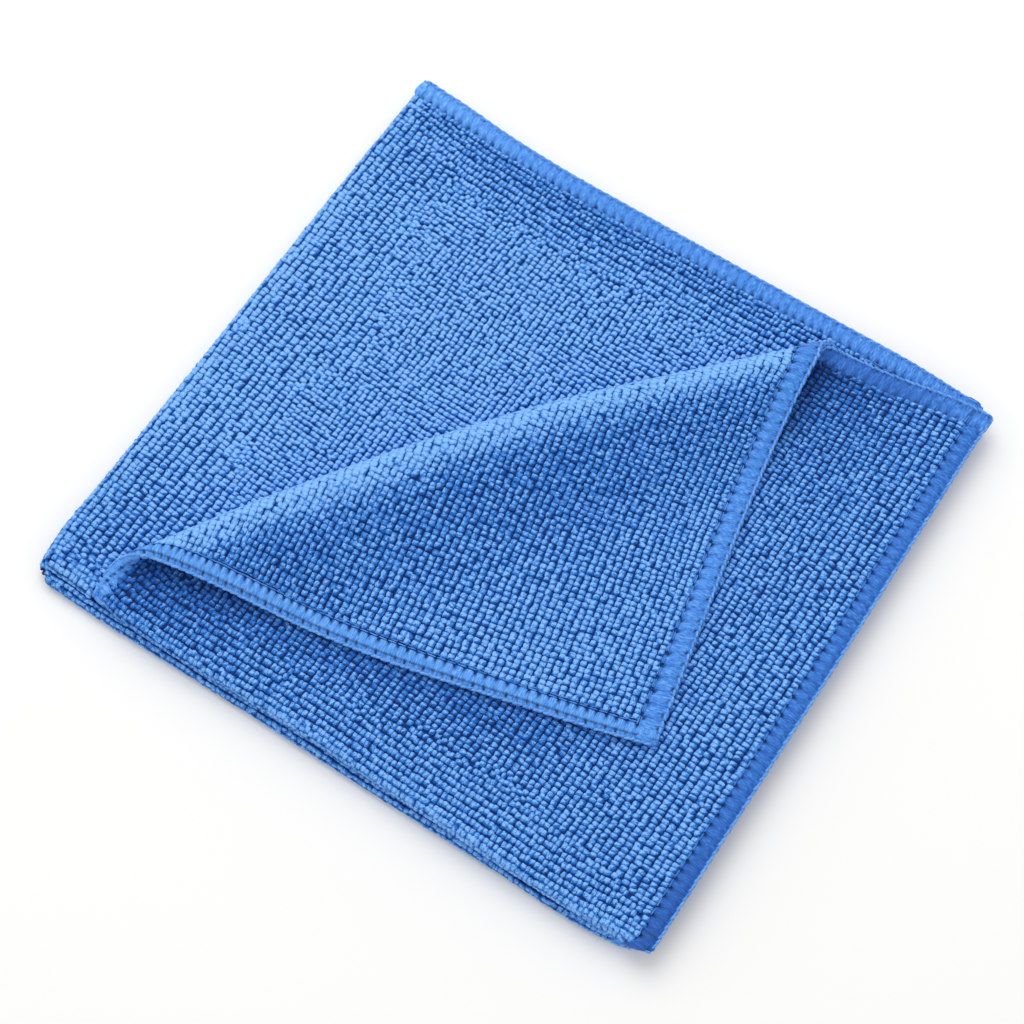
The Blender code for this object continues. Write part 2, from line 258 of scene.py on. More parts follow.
    def on_top(self, s: Array, t: Array) -> Array:
        """Points of the top ply, turned back where they lie past the crease."""
        along, turn, radius = self.crease_place(s, t)
        share = along / self.crease_length
        free = np.maximum(turn - math.pi, 0.0) * radius
        angle = np.clip(turn, 0.0, math.pi)
        across = np.where(turn <= 0.0, turn * radius, radius * np.sin(angle) - self.reaches.at(share) * free)
        rise = radius * (1.0 - np.cos(angle))
        rise = rise + (self.pitch + 0.1 * MM - rise) * eased(free / self.flap_drop) * (free > 0.0)
        across = across + self.bows.at(share) * MM
        along = along + self.slips.at(share) * free
        x = self.slit_x + along * math.cos(self.crease_angle) - across * math.sin(self.crease_angle)
        y = along * math.sin(self.crease_angle) + across * math.cos(self.crease_angle)
        pull = 5.0 * MM * eased((200 * MM - x) / (50 * MM))
        push = 1.4 * MM * eased((x - 165 * MM) / (35 * MM))
        moved = (push - pull) * eased((y - 110 * MM) / (75 * MM))
        moved = moved - self.upper_fold(x, y) * eased(-turn * radius / (8 * MM))
        height = self.middle + 3 * self.pitch + rise + self.wave(x, y)
        return np.stack((self.right_edge(x, y), y + moved, height), axis=-1)

    def on_second(self, s: Array, t: Array) -> Array:
        """Points of the second ply."""
        x, y = s - self.quarter, t - self.quarter
        height = self.middle + 2 * self.pitch + self.wave(x, y)
        return np.stack((self.left_edge(x, y), self.back_edge(x, y) - self.upper_fold(x, y), height), axis=-1)

    def on_left_fold(self, s: Array, t: Array) -> Array:
        """Points of the fold that joins the second ply to the third, with its rounded front corner."""
        left = self.quarter - s
        front = np.maximum(self.quarter - t, 0.0)
        longest = np.maximum(np.maximum(left, front), 1e-9)
        heading = np.where(
            left >= front, math.pi / 4 * front / longest, math.pi / 2 - math.pi / 4 * left / longest
        )
        turn = np.maximum(left, front) / self.radius
        y = np.maximum(t - self.quarter, 0.0) - self.radius * np.sin(turn) * np.sin(heading)
        lowered = (1.0 - np.cos(turn)) / 2 * np.cos(heading)
        x = self.left_edge(-self.radius * np.sin(turn) * np.cos(heading), y)
        y_out = self.back_edge(np.zeros_like(y), y) - self.lower_fold(np.zeros_like(y), y) * lowered
        height = self.middle + 2 * self.pitch - self.radius * (1.0 - np.cos(turn))
        return np.stack((x, y_out, height), axis=-1)

    def on_upper_fold(self, s: Array, t: Array) -> Array:
        """Points of the upper front fold, from the second ply up to the top one."""
        turn = (self.quarter - t) / self.radius
        share = (1.0 - np.cos(turn)) / 2
        low_x, high_x = s - self.quarter, self.top_x(s)
        zero = np.zeros_like(low_x)
        join = eased((high_x - self.slit_x) * math.sin(self.crease_angle) / (8 * MM))
        out = self.upper_fold(low_x, zero) * (1.0 - share) + self.upper_fold(high_x, zero) * join * share
        x = self.left_edge(low_x, zero) * (1.0 - share) + self.right_edge(high_x, zero) * share
        height = self.middle + 2 * self.pitch + self.radius * (1.0 - np.cos(turn))
        return np.stack((x, -out - self.radius * np.sin(turn), height), axis=-1)

    def on_tucked_edge(self, s: Array, t: Array) -> Array:
        """Points of the second ply's front edge left of the slit, which curls down."""
        turn = (self.quarter - t) / self.radius
        zero = np.zeros_like(turn)
        x = self.left_edge(s - self.quarter, zero)
        height = self.middle + 2 * self.pitch - self.radius * (1.0 - np.cos(turn))
        return np.stack((x, -self.upper_fold(x, zero) - self.radius * np.sin(turn), height), axis=-1)

    def on_lower_pair(self, s: Array, t: Array) -> Array:
        """Points of the third ply, the lower front fold and the bottom ply."""
        x = -s - self.quarter
        zero = np.zeros_like(x)
        third_y, bottom_y = t - self.quarter, -t - self.quarter
        third = np.stack(
            (
                self.left_edge(x, third_y),
                self.back_edge(x, third_y) - self.lower_fold(x, third_y),
                self.middle + self.pitch + self.wave(x, third_y) / 2,
            ),
            axis=-1,
        )
        bottom = np.stack(
            (
                self.left_edge(x, bottom_y),
                bottom_y - self.lower_fold(x, bottom_y),
                self.middle + zero,
            ),
            axis=-1,
        )
        turn = np.clip((self.quarter - t) / self.radius, 0.0, math.pi)
        end = 2.5 * MM * np.sin(turn) ** 2 * (1.0 - eased(x / (12 * MM)))
        fold = np.stack(
            (
                self.left_edge(x, zero) + end,
                -self.lower_fold(x, zero) - self.radius * np.sin(turn),
                self.middle + self.radius * (1.0 + np.cos(turn)),
            ),
            axis=-1,
        )
        upper = (t >= self.quarter)[..., None]
        lower = (t <= -self.quarter)[..., None]
        return np.where(upper, third, np.where(lower, bottom, fold))

    def place(self, s: Array, t: Array, tucked: Array | bool = False) -> Array:
        """Where the folds put points of the flat cloth.

        Args:
            s: flat s of each point.
            t: flat t of each point.
            tucked: whether a point in the front fold's strip lies left of the slit.

        Returns:
            The points of the cloth's middle surface, one row of x, y and z each.
        """
        s, t = np.broadcast_arrays(np.asarray(s, float), np.asarray(t, float))
        tucked = np.broadcast_to(tucked, s.shape)
        points = self.on_second(s, t)
        for chosen, fold in (
            (t < self.quarter, self.on_upper_fold),
            ((t < self.quarter) & tucked, self.on_tucked_edge),
            ((t < -self.quarter) & (s > 0.0), self.on_top),
            (s < self.quarter, self.on_left_fold),
            (s <= -self.quarter, self.on_lower_pair),
        ):
            if chosen.any():
                points[chosen] = fold(s[chosen], t[chosen])
        points[..., 0] += self.centring[0]
        points[..., 1] += self.centring[1]
        return points

    def frames(
        self, s: Array, t: Array, face: int, tucked: Array | bool = False
    ) -> tuple[Array, Array, Array, Array]:
        """Points of the middle surface and the directions there.

        Args:
            s: flat s of each point.
            t: flat t of each point.
            face: 1 for the face that is up on the second ply, -1 for the other one.
            tucked: whether a point in the front fold's strip lies left of the slit.

        Returns:
            The points, the unit directions of s and t, and the unit normal out of that face.
        """
        along_s = self.place(s + STEP, t, tucked) - self.place(s - STEP, t, tucked)
        along_t = self.place(s, t + STEP, tucked) - self.place(s, t - STEP, tucked)
        normal = unit(np.cross(along_s, along_t) * face)
        along_s = unit(along_s)
        across = np.cross(normal, along_s) * face
        return self.place(s, t, tucked), along_s, across, normal


SHEET = FoldedSheet()


def add_node(
    tree: Tree, kind: str, links: dict[str, Socket] | None = None, **settings: object
) -> bpy.types.Node:
    """Adds a node with its settings and links.

    Args:
        tree: the material's node tree.
        kind: the node's type.
        links: output sockets by the name of the input that each goes to.
        settings: attributes, and input values by name with spaces written as underscores.

    Returns:
        The new node.
    """
    node = tree.nodes.new(kind)
    for name, value in settings.items():
        if hasattr(node, name):
            setattr(node, name, value)
        else:
            node.inputs[name.replace("_", " ")].default_value = value
    for name, socket in (links or {}).items():
        tree.links.new(socket, node.inputs[int(name) if name.isdigit() else name])
    return node


def new_material(name: str, **inputs: object) -> tuple[bpy.types.Material, Tree, bpy.types.Node]:
    """Starts a material and sets its shader's inputs.

    Args:
        name: the material's name.
        inputs: the shader's values, by input name with spaces written as underscores.

    Returns:
        The material, its node tree and its shader.
    """
    material = bpy.data.materials.new(name)
    material.use_nodes = True
    shader = material.node_tree.nodes["Principled BSDF"]
    for key, value in inputs.items():
        shader.inputs[key.replace("_", " ")].default_value = value
    return material, material.node_tree, shader


def stored(tree: Tree, name: str, output: str = "Fac") -> Socket:
    """What the mesh holds at each of its points under a name."""
    return add_node(tree, "ShaderNodeAttribute", attribute_name=name).outputs[output]


def noise(tree: Tree, place: Socket, **settings: float) -> Socket:
    """A value that changes smoothly with the place, mostly between 0.3 and 0.7."""
    return add_node(tree, "ShaderNodeTexNoise", {"Vector": place}, **settings).outputs["Fac"]


def scaled(tree: Tree, place: Socket, scale: tuple[float, float, float]) -> Socket:
    """A place with each of its axes scaled."""
    links = {"Vector": place}
    return add_node(tree, "ShaderNodeMapping", links, vector_type="POINT", Scale=scale).outputs["Vector"]


def total(tree: Tree, first: Socket, second: Socket) -> Socket:
    """The sum of two values."""
    return add_node(tree, "ShaderNodeMath", {"0": first, "1": second}, operation="ADD").outputs[0]


def ramped(tree: Tree, value: Socket, stops: list[tuple[float, str]]) -> Socket:
    """The colour of a value, by stops that are each a place and an sRGB hex colour."""
    node = add_node(tree, "ShaderNodeValToRGB", {"Fac": value})
    ramp = node.color_ramp
    while len(ramp.elements) > 1:
        ramp.elements.remove(ramp.elements[-1])
    for index, (place, colour) in enumerate(stops):
        element = ramp.elements[0] if index == 0 else ramp.elements.new(place)
        element.position = place
        element.color = linear(colour)
    return node.outputs["Color"]


def dress(tree: Tree, shader: bpy.types.Node, colour: Socket, height: Socket, **bump: object) -> None:
    """Gives a shader its colour, and the fine relief that a height makes."""
    relief = add_node(tree, "ShaderNodeBump", {"Height": height}, **bump).outputs["Normal"]
    tree.links.new(colour, shader.inputs["Base Color"])
    tree.links.new(relief, shader.inputs["Normal"])


@dataclass(frozen=True)
class LoopedPile:
    """Split microfibre, polyester with some polyamide, knitted into loops that stand up as small pearls.

    Each loop is a bundle of very fine fibres, matt. Its colour runs with its height from deep navy at its foot
    to pale at its crown: partly the fibres' own paler tips, partly painted shade in the gaps and a painted
    highlight where light rakes the crown.
    """

    name: str
    gap: str = "#012a6a"
    flank: str = "#0d55b0"
    body: str = "#2c7bd5"
    crown: str = "#86c0ff"
    roughness: float = 0.78
    sheen: float = 0.25
    sheen_tint: str = "#a9cbff"
    fibre_mm: float = 0.34
    strands: float = 2.5
    unevenness: float = 0.34

    def material(self) -> bpy.types.Material:
        """The pile's material, which reads each loop's tone with its painted shade, its height with its painted
        highlight, and its strands.
        """
        material, tree, shader = new_material(
            self.name,
            Roughness=self.roughness,
            IOR=1.5,
            Specular_IOR_Level=0.25,
            Sheen_Weight=self.sheen,
            Sheen_Roughness=0.5,
            Sheen_Tint=linear(self.sheen_tint),
        )
        place = add_node(tree, "ShaderNodeTexCoord").outputs["Object"]
        fibres = noise(tree, place, Scale=1.0 / (self.fibre_mm * MM), Detail=3.0, Roughness=0.6)
        laid = scaled(tree, stored(tree, "strand_place", "Vector"), (self.strands, 0.3 * self.strands, 0.5))
        strands = noise(tree, laid, Scale=1.0, Detail=1.0, Roughness=0.5, Distortion=0.4)
        both = total(tree, strands, fibres)
        spread = add_node(
            tree,
            "ShaderNodeMapRange",
            {"Value": both},
            From_Min=0.66,
            From_Max=1.34,
            To_Min=-self.unevenness,
            To_Max=self.unevenness,
        ).outputs["Result"]
        # Painted shade and highlight: the colour darkens towards each loop's foot and lightens at its crown and
        # on its lit side.
        toned = total(tree, total(tree, stored(tree, "loop_height_painted_light"), spread), stored(tree, "tone_and_painted_shade"))
        stops = [(0.0, self.gap), (0.35, self.flank), (0.66, self.body), (1.0, self.crown)]
        dress(tree, shader, ramped(tree, toned, stops), both, Strength=0.8, Distance=0.22 * MM)
        return material


@dataclass(frozen=True)
class GroundKnit:
    """The polyester ground that the loops are knitted through: flat, dense and shaded, so a deep navy."""

    name: str = "polyester_ground_knit"
    dark: str = "#06316f"
    light: str = "#12509f"
    stitch_mm: float = 0.9

    def material(self) -> bpy.types.Material:
        """The ground's material: the little V stitches of a fine warp knit."""
        material, tree, shader = new_material(self.name, Roughness=0.85, Specular_IOR_Level=0.2)
        place = add_node(tree, "ShaderNodeTexCoord").outputs["Object"]
        stitches = add_node(
            tree,
            "ShaderNodeTexVoronoi",
            {"Vector": place},
            Scale=1.0 / (self.stitch_mm * MM),
            Randomness=0.4,
        ).outputs["Distance"]
        colour = ramped(tree, stitches, [(0.1, self.light), (0.6, self.dark)])
        dress(tree, shader, colour, stitches, Strength=0.5, Distance=0.2 * MM, invert=True)
        return material


@dataclass(frozen=True)
class OverlockThread:
    """Textured filament polyester, laid side by side over the edge by an overlock machine.

    The threads cross the hem, so the eye gets a satin band with fine cross lines, a little more saturated and
    glossier than the pile.
    """

    name: str = "polyester_overlock_thread"
    deep: str = "#13499c"
    shade: str = "#2063bd"
    body: str = "#428ae3"
    light: str = "#76b5fa"
    # The needle holes and grooves are painted this dark colour: partly the ground seen through them, partly
    # painted shade.
    pit: str = "#03224f"
    sheen_tint: str = "#b5d0ff"
    thread_mm: float = 0.27
    run_mm: float = 1.9
    twist: float = 2.6

    def material(self) -> bpy.types.Material:
        """The thread's material, which reads the hem's own UV map in metres, its tone with painted shade, and
        its stitch holes, which it paints dark, partly as painted shade.
        """
        material, tree, shader = new_material(
            self.name,
            Roughness=0.62,
            Specular_IOR_Level=0.35,
            Sheen_Weight=0.15,
            Sheen_Tint=linear(self.sheen_tint),
        )
        across = add_node(tree, "ShaderNodeUVMap", uv_map="hem").outputs["UV"]
        lines = scaled(tree, across, (1.0 / (self.thread_mm * MM), 1.0 / (self.run_mm * MM), 1.0))
        twisted = add_node(
            tree,
            "ShaderNodeVectorMath",
            {"0": stored(tree, "strand_place", "Vector")},
            operation="SCALE",
            Scale=self.twist,
        ).outputs["Vector"]
        laid = add_node(
            tree, "ShaderNodeVectorMath", {"0": lines, "1": twisted}, operation="ADD"
        ).outputs["Vector"]
        threads = noise(tree, laid, Scale=1.0, Detail=2.0, Roughness=0.55, Distortion=0.3)
        toned = total(tree, threads, stored(tree, "tone_and_painted_shade"))
        stops = [(0.0, self.deep), (0.28, self.shade), (0.5, self.body), (0.75, self.light)]
        # The holes and grooves are painted the dark pit colour, partly as painted shade.
        links = {"Factor": stored(tree, "pit"), "6": ramped(tree, toned, stops)}
        mixed = add_node(tree, "ShaderNodeMix", links, data_type="RGBA")
        mixed.inputs[7].default_value = linear(self.pit)
        dress(tree, shader, mixed.outputs[2], threads, Strength=0.8, Distance=0.2 * MM)
        return material


def linked(name: str, data: bpy.types.ID) -> bpy.types.Object:
    """Puts a mesh, light or camera in the scene as an object of this name."""
    thing = bpy.data.objects.new(name, data)
    bpy.context.collection.objects.link(thing)
    return thing


def store(mesh: bpy.types.Mesh, name: str, values: Array) -> None:
    """Gives each point of a mesh a number under a name, for the material to read."""
    layer = mesh.attributes.new(name, "FLOAT", "POINT")
    layer.data.foreach_set("value", values.astype(np.float32).ravel())


def deselect_all() -> None:
    """Leaves nothing selected, because the solid's nodes are selected when they are loaded."""
    for thing in bpy.context.view_layer.objects:
        thing.select_set(False)


def modelled_template(thing: bpy.types.Object) -> tuple[Array, Array]:
    """Takes the points and triangles of a shape that was modelled once, and removes its object.

    Args:
        thing: the object, whose mesh holds its final shape.

    Returns:
        The points, and the corner numbers of each triangle.
    """
    mesh = thing.data
    mesh.calc_loop_triangles()
    points = np.array([vert.co for vert in mesh.vertices], float)
    corners = np.array([triangle.vertices for triangle in mesh.loop_triangles], int)
    bpy.data.objects.remove(thing, do_unlink=True)
    return points, corners


def joined_copies(
    name: str,
    template: tuple[Array, Array],
    centres: Array,
    axes: Array,
    tones: Array,
    lit_side_highlight: Array | None = None,
    uneven: float = 0.0,
) -> bpy.types.Object:
    """Copies of one shape joined in one mesh, each with its own place, axes and tone.

    Args:
        name: the piece's name.
        template: the shape's points and triangles.
        centres: one row of x, y and z for each copy.
        axes: for each copy, a row for each of the shape's three axes.
        tones: for each copy, how much lighter it is: its own tone, with painted shade and painted light on some
            areas.
        lit_side_highlight: for each copy, how much lighter it is painted along the shape's x and y, as a painted
            highlight on its side towards the light, and across its strands.
        uneven: how far each point may be off, as a share of the shape's size.

    Returns:
        The new object.
    """
    points, corners = template
    count, size = len(centres), len(points)
    shapes = points[None] * (1.0 + np.random.default_rng(count).normal(0.0, 1.0, (count, size, 3)) * uneven)
    placed = np.einsum("npk,nkx->npx", shapes, axes) + centres[:, None, :]
    placed[..., 2] = np.maximum(placed[..., 2], 0.0)
    faces = corners[None] + (np.arange(count) * size)[:, None, None]
    mesh = bpy.data.meshes.new(name)
    mesh.vertices.add(count * size)
    mesh.vertices.foreach_set("co", placed.astype(np.float32).ravel())
    mesh.loops.add(faces.size)
    mesh.loops.foreach_set("vertex_index", faces.astype(np.int32).ravel())
    mesh.polygons.add(faces.size // 3)
    mesh.polygons.foreach_set("loop_start", np.arange(0, faces.size, 3, dtype=np.int32))
    mesh.update()
    height = np.tile(points[:, 2], (count, 1))
    # Painted highlight: the height that sets the colour is raised on each copy's side towards the light.
    if lit_side_highlight is not None:
        height = height + lit_side_highlight @ points[:, :2].T
    store(mesh, "loop_height_painted_light", height)
    store(mesh, "tone_and_painted_shade", np.repeat(tones, size))
    heading = unit(np.tile((0.94, 0.34), (count, 1)) if lit_side_highlight is None else lit_side_highlight)
    sideways = np.stack((-heading[:, 1], heading[:, 0]), axis=1)
    own = np.random.default_rng(count + 1).uniform(0.0, 90.0, (count, 1))
    strands = np.stack((heading @ points[:, :2].T, sideways @ points[:, :2].T, points[:, 2] + own), axis=-1)
    place = mesh.attributes.new("strand_place", "FLOAT_VECTOR", "POINT")
    place.data.foreach_set("vector", strands.astype(np.float32).ravel())
    mesh.shade_smooth()
    mesh.validate()
    return linked(name, mesh)


def tube(name: str, points: Array, uv: Array) -> bpy.types.Mesh:
    """A tube through rings of points, closed at both ends, with a UV map called hem.

    Args:
        name: the mesh's name.
        points: for each ring, a row of x, y and z for each of its points.
        uv: for each point, its place along and round the tube in metres.

    Returns:
        The new mesh.
    """
    rings, count, _ = points.shape
    index = np.arange(rings * count).reshape(rings, count)
    a, b = index[:-1], index[1:]
    quads = np.stack((a, np.roll(a, -1, axis=1), np.roll(b, -1, axis=1), b), axis=-1).reshape(-1, 4)
    built = bmesh.new()
    verts = [built.verts.new(point) for point in points.reshape(-1, 3)]
    for corners in (*quads, index[0], index[-1][::-1]):
        built.faces.new([verts[k] for k in corners])
    bmesh.ops.recalc_face_normals(built, faces=built.faces)
    layer = built.loops.layers.uv.new("hem")
    built.verts.index_update()
    for face in built.faces:
        for corner in face.loops:
            corner[layer].uv = uv[corner.vert.index]
    mesh = bpy.data.meshes.new(name)
    built.to_mesh(mesh)
    built.free()
    return mesh


class Rows(Enum):
    """Which way the rows of loops run on an area of pile, which is the way that they stand close."""

    ALONG_S = "s"
    ALONG_T = "t"
    PATCHES = "patches"


def spaced(start: float, stop: float, rest: float, last: tuple[float, ...] = ()) -> Array:
    """Lines of loops across the cloth.

    Args:
        start: where the first line is, in millimetres.
        stop: where the last line is.
        rest: the gap between the lines up to the last few.
        last: the gaps between the last few.

    Returns:
        The place of each line, in metres.
    """
    tail = stop - np.concatenate(([0.0], np.cumsum(last[::-1])))[::-1]
    count = max(1, round((tail[0] - start) / rest))
    return np.concatenate((np.linspace(start, tail[0], count + 1)[:-1], tail)) * MM


def point_tree(rows: Array) -> KDTree:
    """A search tree of the flat places in the first two columns of some rows."""
    tree = KDTree(len(rows))
    for index, row in enumerate(rows):
        tree.insert((row[0], row[1], 0.0), index)
    tree.balance()
    return tree


def settled(rows: Array, area: Array, rounds: int = 14, reach: float = 3.4 * MM) -> Array:
    """Lets the loops on both sides of the seams between areas shift until they stand evenly.

    Args:
        rows: flat s and t of each loop, and the gap between lines both ways.
        area: the number of each loop's area.
        rounds: how many times the loops shift.
        reach: how far apart two loops may stand and still push each other.

    Returns:
        The rows with the places shifted.
    """
    rows = rows.copy()
    tree = point_tree(rows)
    wanted, share, far = 0.99, 0.4, 9.0 * MM
    pairs, seam = [], np.full(len(rows), far)
    for index, row in enumerate(rows):
        for _, other, distance in tree.find_range((row[0], row[1], 0.0), reach):
            if area[other] != area[index]:
                seam[index] = min(seam[index], distance)
            if other > index:
                pairs.append((index, other))
    first, second = np.array(pairs).T
    for index, row in enumerate(rows):
        if seam[index] > reach:
            near = tree.find_range((row[0], row[1], 0.0), reach)
            seam[index] = min(seam[other] + away for _, other, away in near)
    free = 1.0 - eased((seam - 2.0 * MM) / (4.5 * MM))
    pitch = (rows[first, 2:] + rows[second, 2:]) / 2
    for _ in range(rounds):
        apart = (rows[first, :2] - rows[second, :2]) / pitch
        distance = np.maximum(np.linalg.norm(apart, axis=1, keepdims=True), 1e-6)
        push = apart / distance * np.clip(wanted - distance, 0.0, 0.5) * share * pitch
        np.add.at(rows, (first, slice(0, 2)), push * free[first, None])
        np.add.at(rows, (second, slice(0, 2)), -push * free[second, None])
    return rows


def filled(
    rows: Array,
    area: Array,
    fields: list[PileField],
    room: float = 0.84,
    seam_room: float = 0.64,
    spacing: float = 0.8,
    grid: float = 0.7 * MM,
    clear: float = 1.0 * MM,
) -> tuple[Array, Array]:
    """Adds a loop wherever the lines of two areas leave a hole between them.

    Args:
        rows: flat s and t of each loop, and the gap between lines both ways.
        area: the number of each loop's area.
        fields: the areas.
        room: the size of a hole inside an area, as a share of the gap between lines.
        seam_room: the same where areas meet.
        spacing: how far apart two new loops stand at least, as the same share.
        grid: how far apart the spots are that are tried.
        clear: how far from a spot all of its three nearest loops have to be.

    Returns:
        The rows and the areas' numbers with the new loops.
    """
    tree = point_tree(rows)
    holes = []
    for number, field in enumerate(fields):
        if field.tucked:
            continue
        across = np.arange(field.s_lines[0], field.s_lines[-1], grid)
        down = np.arange(field.t_lines[0], field.t_lines[-1], grid)
        spots = np.stack([part.ravel() for part in np.meshgrid(across, down)], axis=1)
        for spot in spots[field.kept(spots[:, 0], spots[:, 1])]:
            near = [other for _, other, away in tree.find_n((spot[0], spot[1], 0.0), 3) if away > clear]
            if len(near) < 3:
                continue
            apart = np.linalg.norm((rows[near, :2] - spot) / rows[near, 2:], axis=1)
            if apart.min() > (seam_room if len(set(area[near])) > 1 else room):
                gaps = rows[near[int(apart.argmin())], 2:]
                holes.append((apart.min(), number, np.concatenate((spot, gaps))))
    holes.sort(key=lambda hole: -hole[0])
    added, numbers = np.zeros((0, 4)), []
    for _, number, row in holes:
        apart = np.linalg.norm((added[:, :2] - row[:2]) / row[2:], axis=1)
        if not len(added) or apart.min() > spacing:
            added = np.concatenate((added, row[None]))
            numbers.append(number)
    return np.concatenate((rows, added)), np.concatenate((area, np.array(numbers, int)))


@dataclass
class PileField:
    """One area of looped pile, with a loop at each crossing of its lines.

    A loop's foot is base off the cloth's middle surface. Pressed is how much of its height a loop loses where it
    is fully worn, and clear is how far it stays from the loops of earlier areas. The spreads are the standard
    deviations of the loops' unevenness.
    """

    face: int
    s_lines: Array
    t_lines: Array
    kept: Callable[[Array, Array], Array]
    rows: Rows
    lean: tuple[float, float] = (0.0, 0.0)
    worn: Callable[[Array, Array], Array] | None = None
    tucked: bool = False
    height: float = 0.86 * MM
    base: float = 0.60 * MM
    clear: float = 1.05 * MM
    pressed: float = 0.42
    # The tone is the area's own, except on the top ply and the turned-back corner, where it is painted shade and
    # painted light.
    tone: Callable[[Array, Array], Array] | float = 0.0
    drift: float = 0.20 * MM
    loose: float = 0.038
    size_spread: float = 0.045
    height_spread: float = 0.09
    turn_spread: float = 0.08
    lean_spread: float = 0.13
    tone_spread: float = 0.045
    worn_lift: float = 0.22 * MM

    def crossings(self, taken: Array) -> Array:
        """The crossings that are in the area and clear of the loops that stand there already.

        Args:
            taken: the rows of the areas before this one.

        Returns:
            One row for each loop: flat s and t, and the gap between lines both ways.
        """
        s, t = np.meshgrid(self.s_lines, self.t_lines, indexing="ij")
        gap_s = np.broadcast_to(np.gradient(self.s_lines)[:, None], s.shape)
        gap_t = np.broadcast_to(np.gradient(self.t_lines)[None, :], s.shape)
        rows = np.stack([part.ravel() for part in (s, t, gap_s, gap_t)], axis=1)
        rows = rows[self.kept(rows[:, 0], rows[:, 1])]
        if len(taken):
            tree = point_tree(taken)
            rows = np.array([row for row in rows if tree.find((row[0], row[1], 0.0))[2] > self.clear])
        return rows

    def lifted(self, s: Array, t: Array) -> Array:
        """Points at half of the loops' height, where round a fold they stand further apart."""
        place, _, _, normal = SHEET.frames(s, t, self.face, self.tucked)
        return place + normal * (self.base + self.height / 2)

    def fills(self, s: Array, t: Array) -> tuple[Array, Array]:
        """How much of the gap between lines a loop fills, along s and along t."""
        waves = np.sin(s / (9.5 * MM) + 2.0 * np.sin(t / (15.0 * MM)))
        cross_waves = np.sin(t / (12.0 * MM) + 1.6 * np.sin(s / (21.0 * MM)))
        along_s = {
            Rows.ALONG_S: np.ones_like(s),
            Rows.ALONG_T: np.zeros_like(s),
            Rows.PATCHES: 0.5 + 0.5 * np.tanh(4.0 * waves * cross_waves),
        }[self.rows]
        return 0.98 + 0.16 * along_s, 1.14 - 0.16 * along_s

    def loops(self, rng: np.random.Generator, rows: Array) -> tuple[Array, Array, Array, Array]:
        """Makes every loop of the area.

        Args:
            rng: the source of the loops' unevenness.
            rows: flat s and t of each loop, and the gap between lines both ways.

        Returns:
            The loops' feet, their three axes, their tones with any painted shade, and the side of each that is
            painted lighter as a highlight.
        """
        s, t, gap_s, gap_t = rows.T
        count = len(s)
        drift_s = self.drift * np.sin(t / (9 * MM) + 1.7 * np.sin(s / (29 * MM)))
        drift_t = self.drift * np.sin(s / (8 * MM) + 1.9 * np.sin(t / (23 * MM)))
        loose_s, loose_t = rng.normal(0.0, self.loose, (2, count))
        s_at, t_at = s + drift_s + loose_s * gap_s, t + drift_t + loose_t * gap_t
        place, tangent, across, normal = SHEET.frames(s_at, t_at, self.face, self.tucked)
        half_s = np.linalg.norm(self.lifted(s + gap_s / 2, t) - self.lifted(s - gap_s / 2, t), axis=-1) / 2
        half_t = np.linalg.norm(self.lifted(s, t + gap_t / 2) - self.lifted(s, t - gap_t / 2), axis=-1) / 2
        fill_s, fill_t = self.fills(s, t)
        worn = np.zeros(count) if self.worn is None else self.worn(s, t)
        merged = 1.0 + 0.12 * worn
        size = 1.0 + rng.normal(0.0, 1.0, (2, count)) * (self.size_spread + 0.04 * worn)
        height = self.height * (1.0 - self.pressed * worn) * rng.normal(1.0, self.height_spread, count)
        first, second = turned(tangent, across, rng.normal(0.0, self.turn_spread, count))
        first = first * (half_s * fill_s * size[0] * merged)[:, None]
        second = second * (half_t * fill_t * size[1] * merged)[:, None]
        lean_s = self.lean[0] * (1.0 - worn) + rng.normal(0.0, self.lean_spread, count)
        lean_t = self.lean[1] * (1.0 - worn) + rng.normal(0.0, self.lean_spread, count)
        up = normal + tangent * lean_s[:, None] + across * lean_t[:, None]
        axes = np.stack((first, second * self.face, up * height[:, None]), axis=1)
        centres = place + normal * (self.base + self.worn_lift * worn)[:, None]
        slow = 0.03 * np.sin(s / (19 * MM) + 1.3) * np.sin(t / (27 * MM) + 0.4)
        # Painted shade and painted light: near the roll, on the top ply and the turned-back corner, the area's
        # tone is painted shade and light.
        area_tone_and_painted_shade = self.tone(s, t) if callable(self.tone) else self.tone
        tones = rng.normal(0.0, self.tone_spread, count) + slow + 0.12 * worn + area_tone_and_painted_shade
        # Painted highlight: each loop is painted lighter on the side it leans to, which is the side towards the
        # light.
        lit_side_highlight = 1.1 * np.stack((lean_s, lean_t * self.face), axis=1)
        return centres, axes, tones, lit_side_highlight


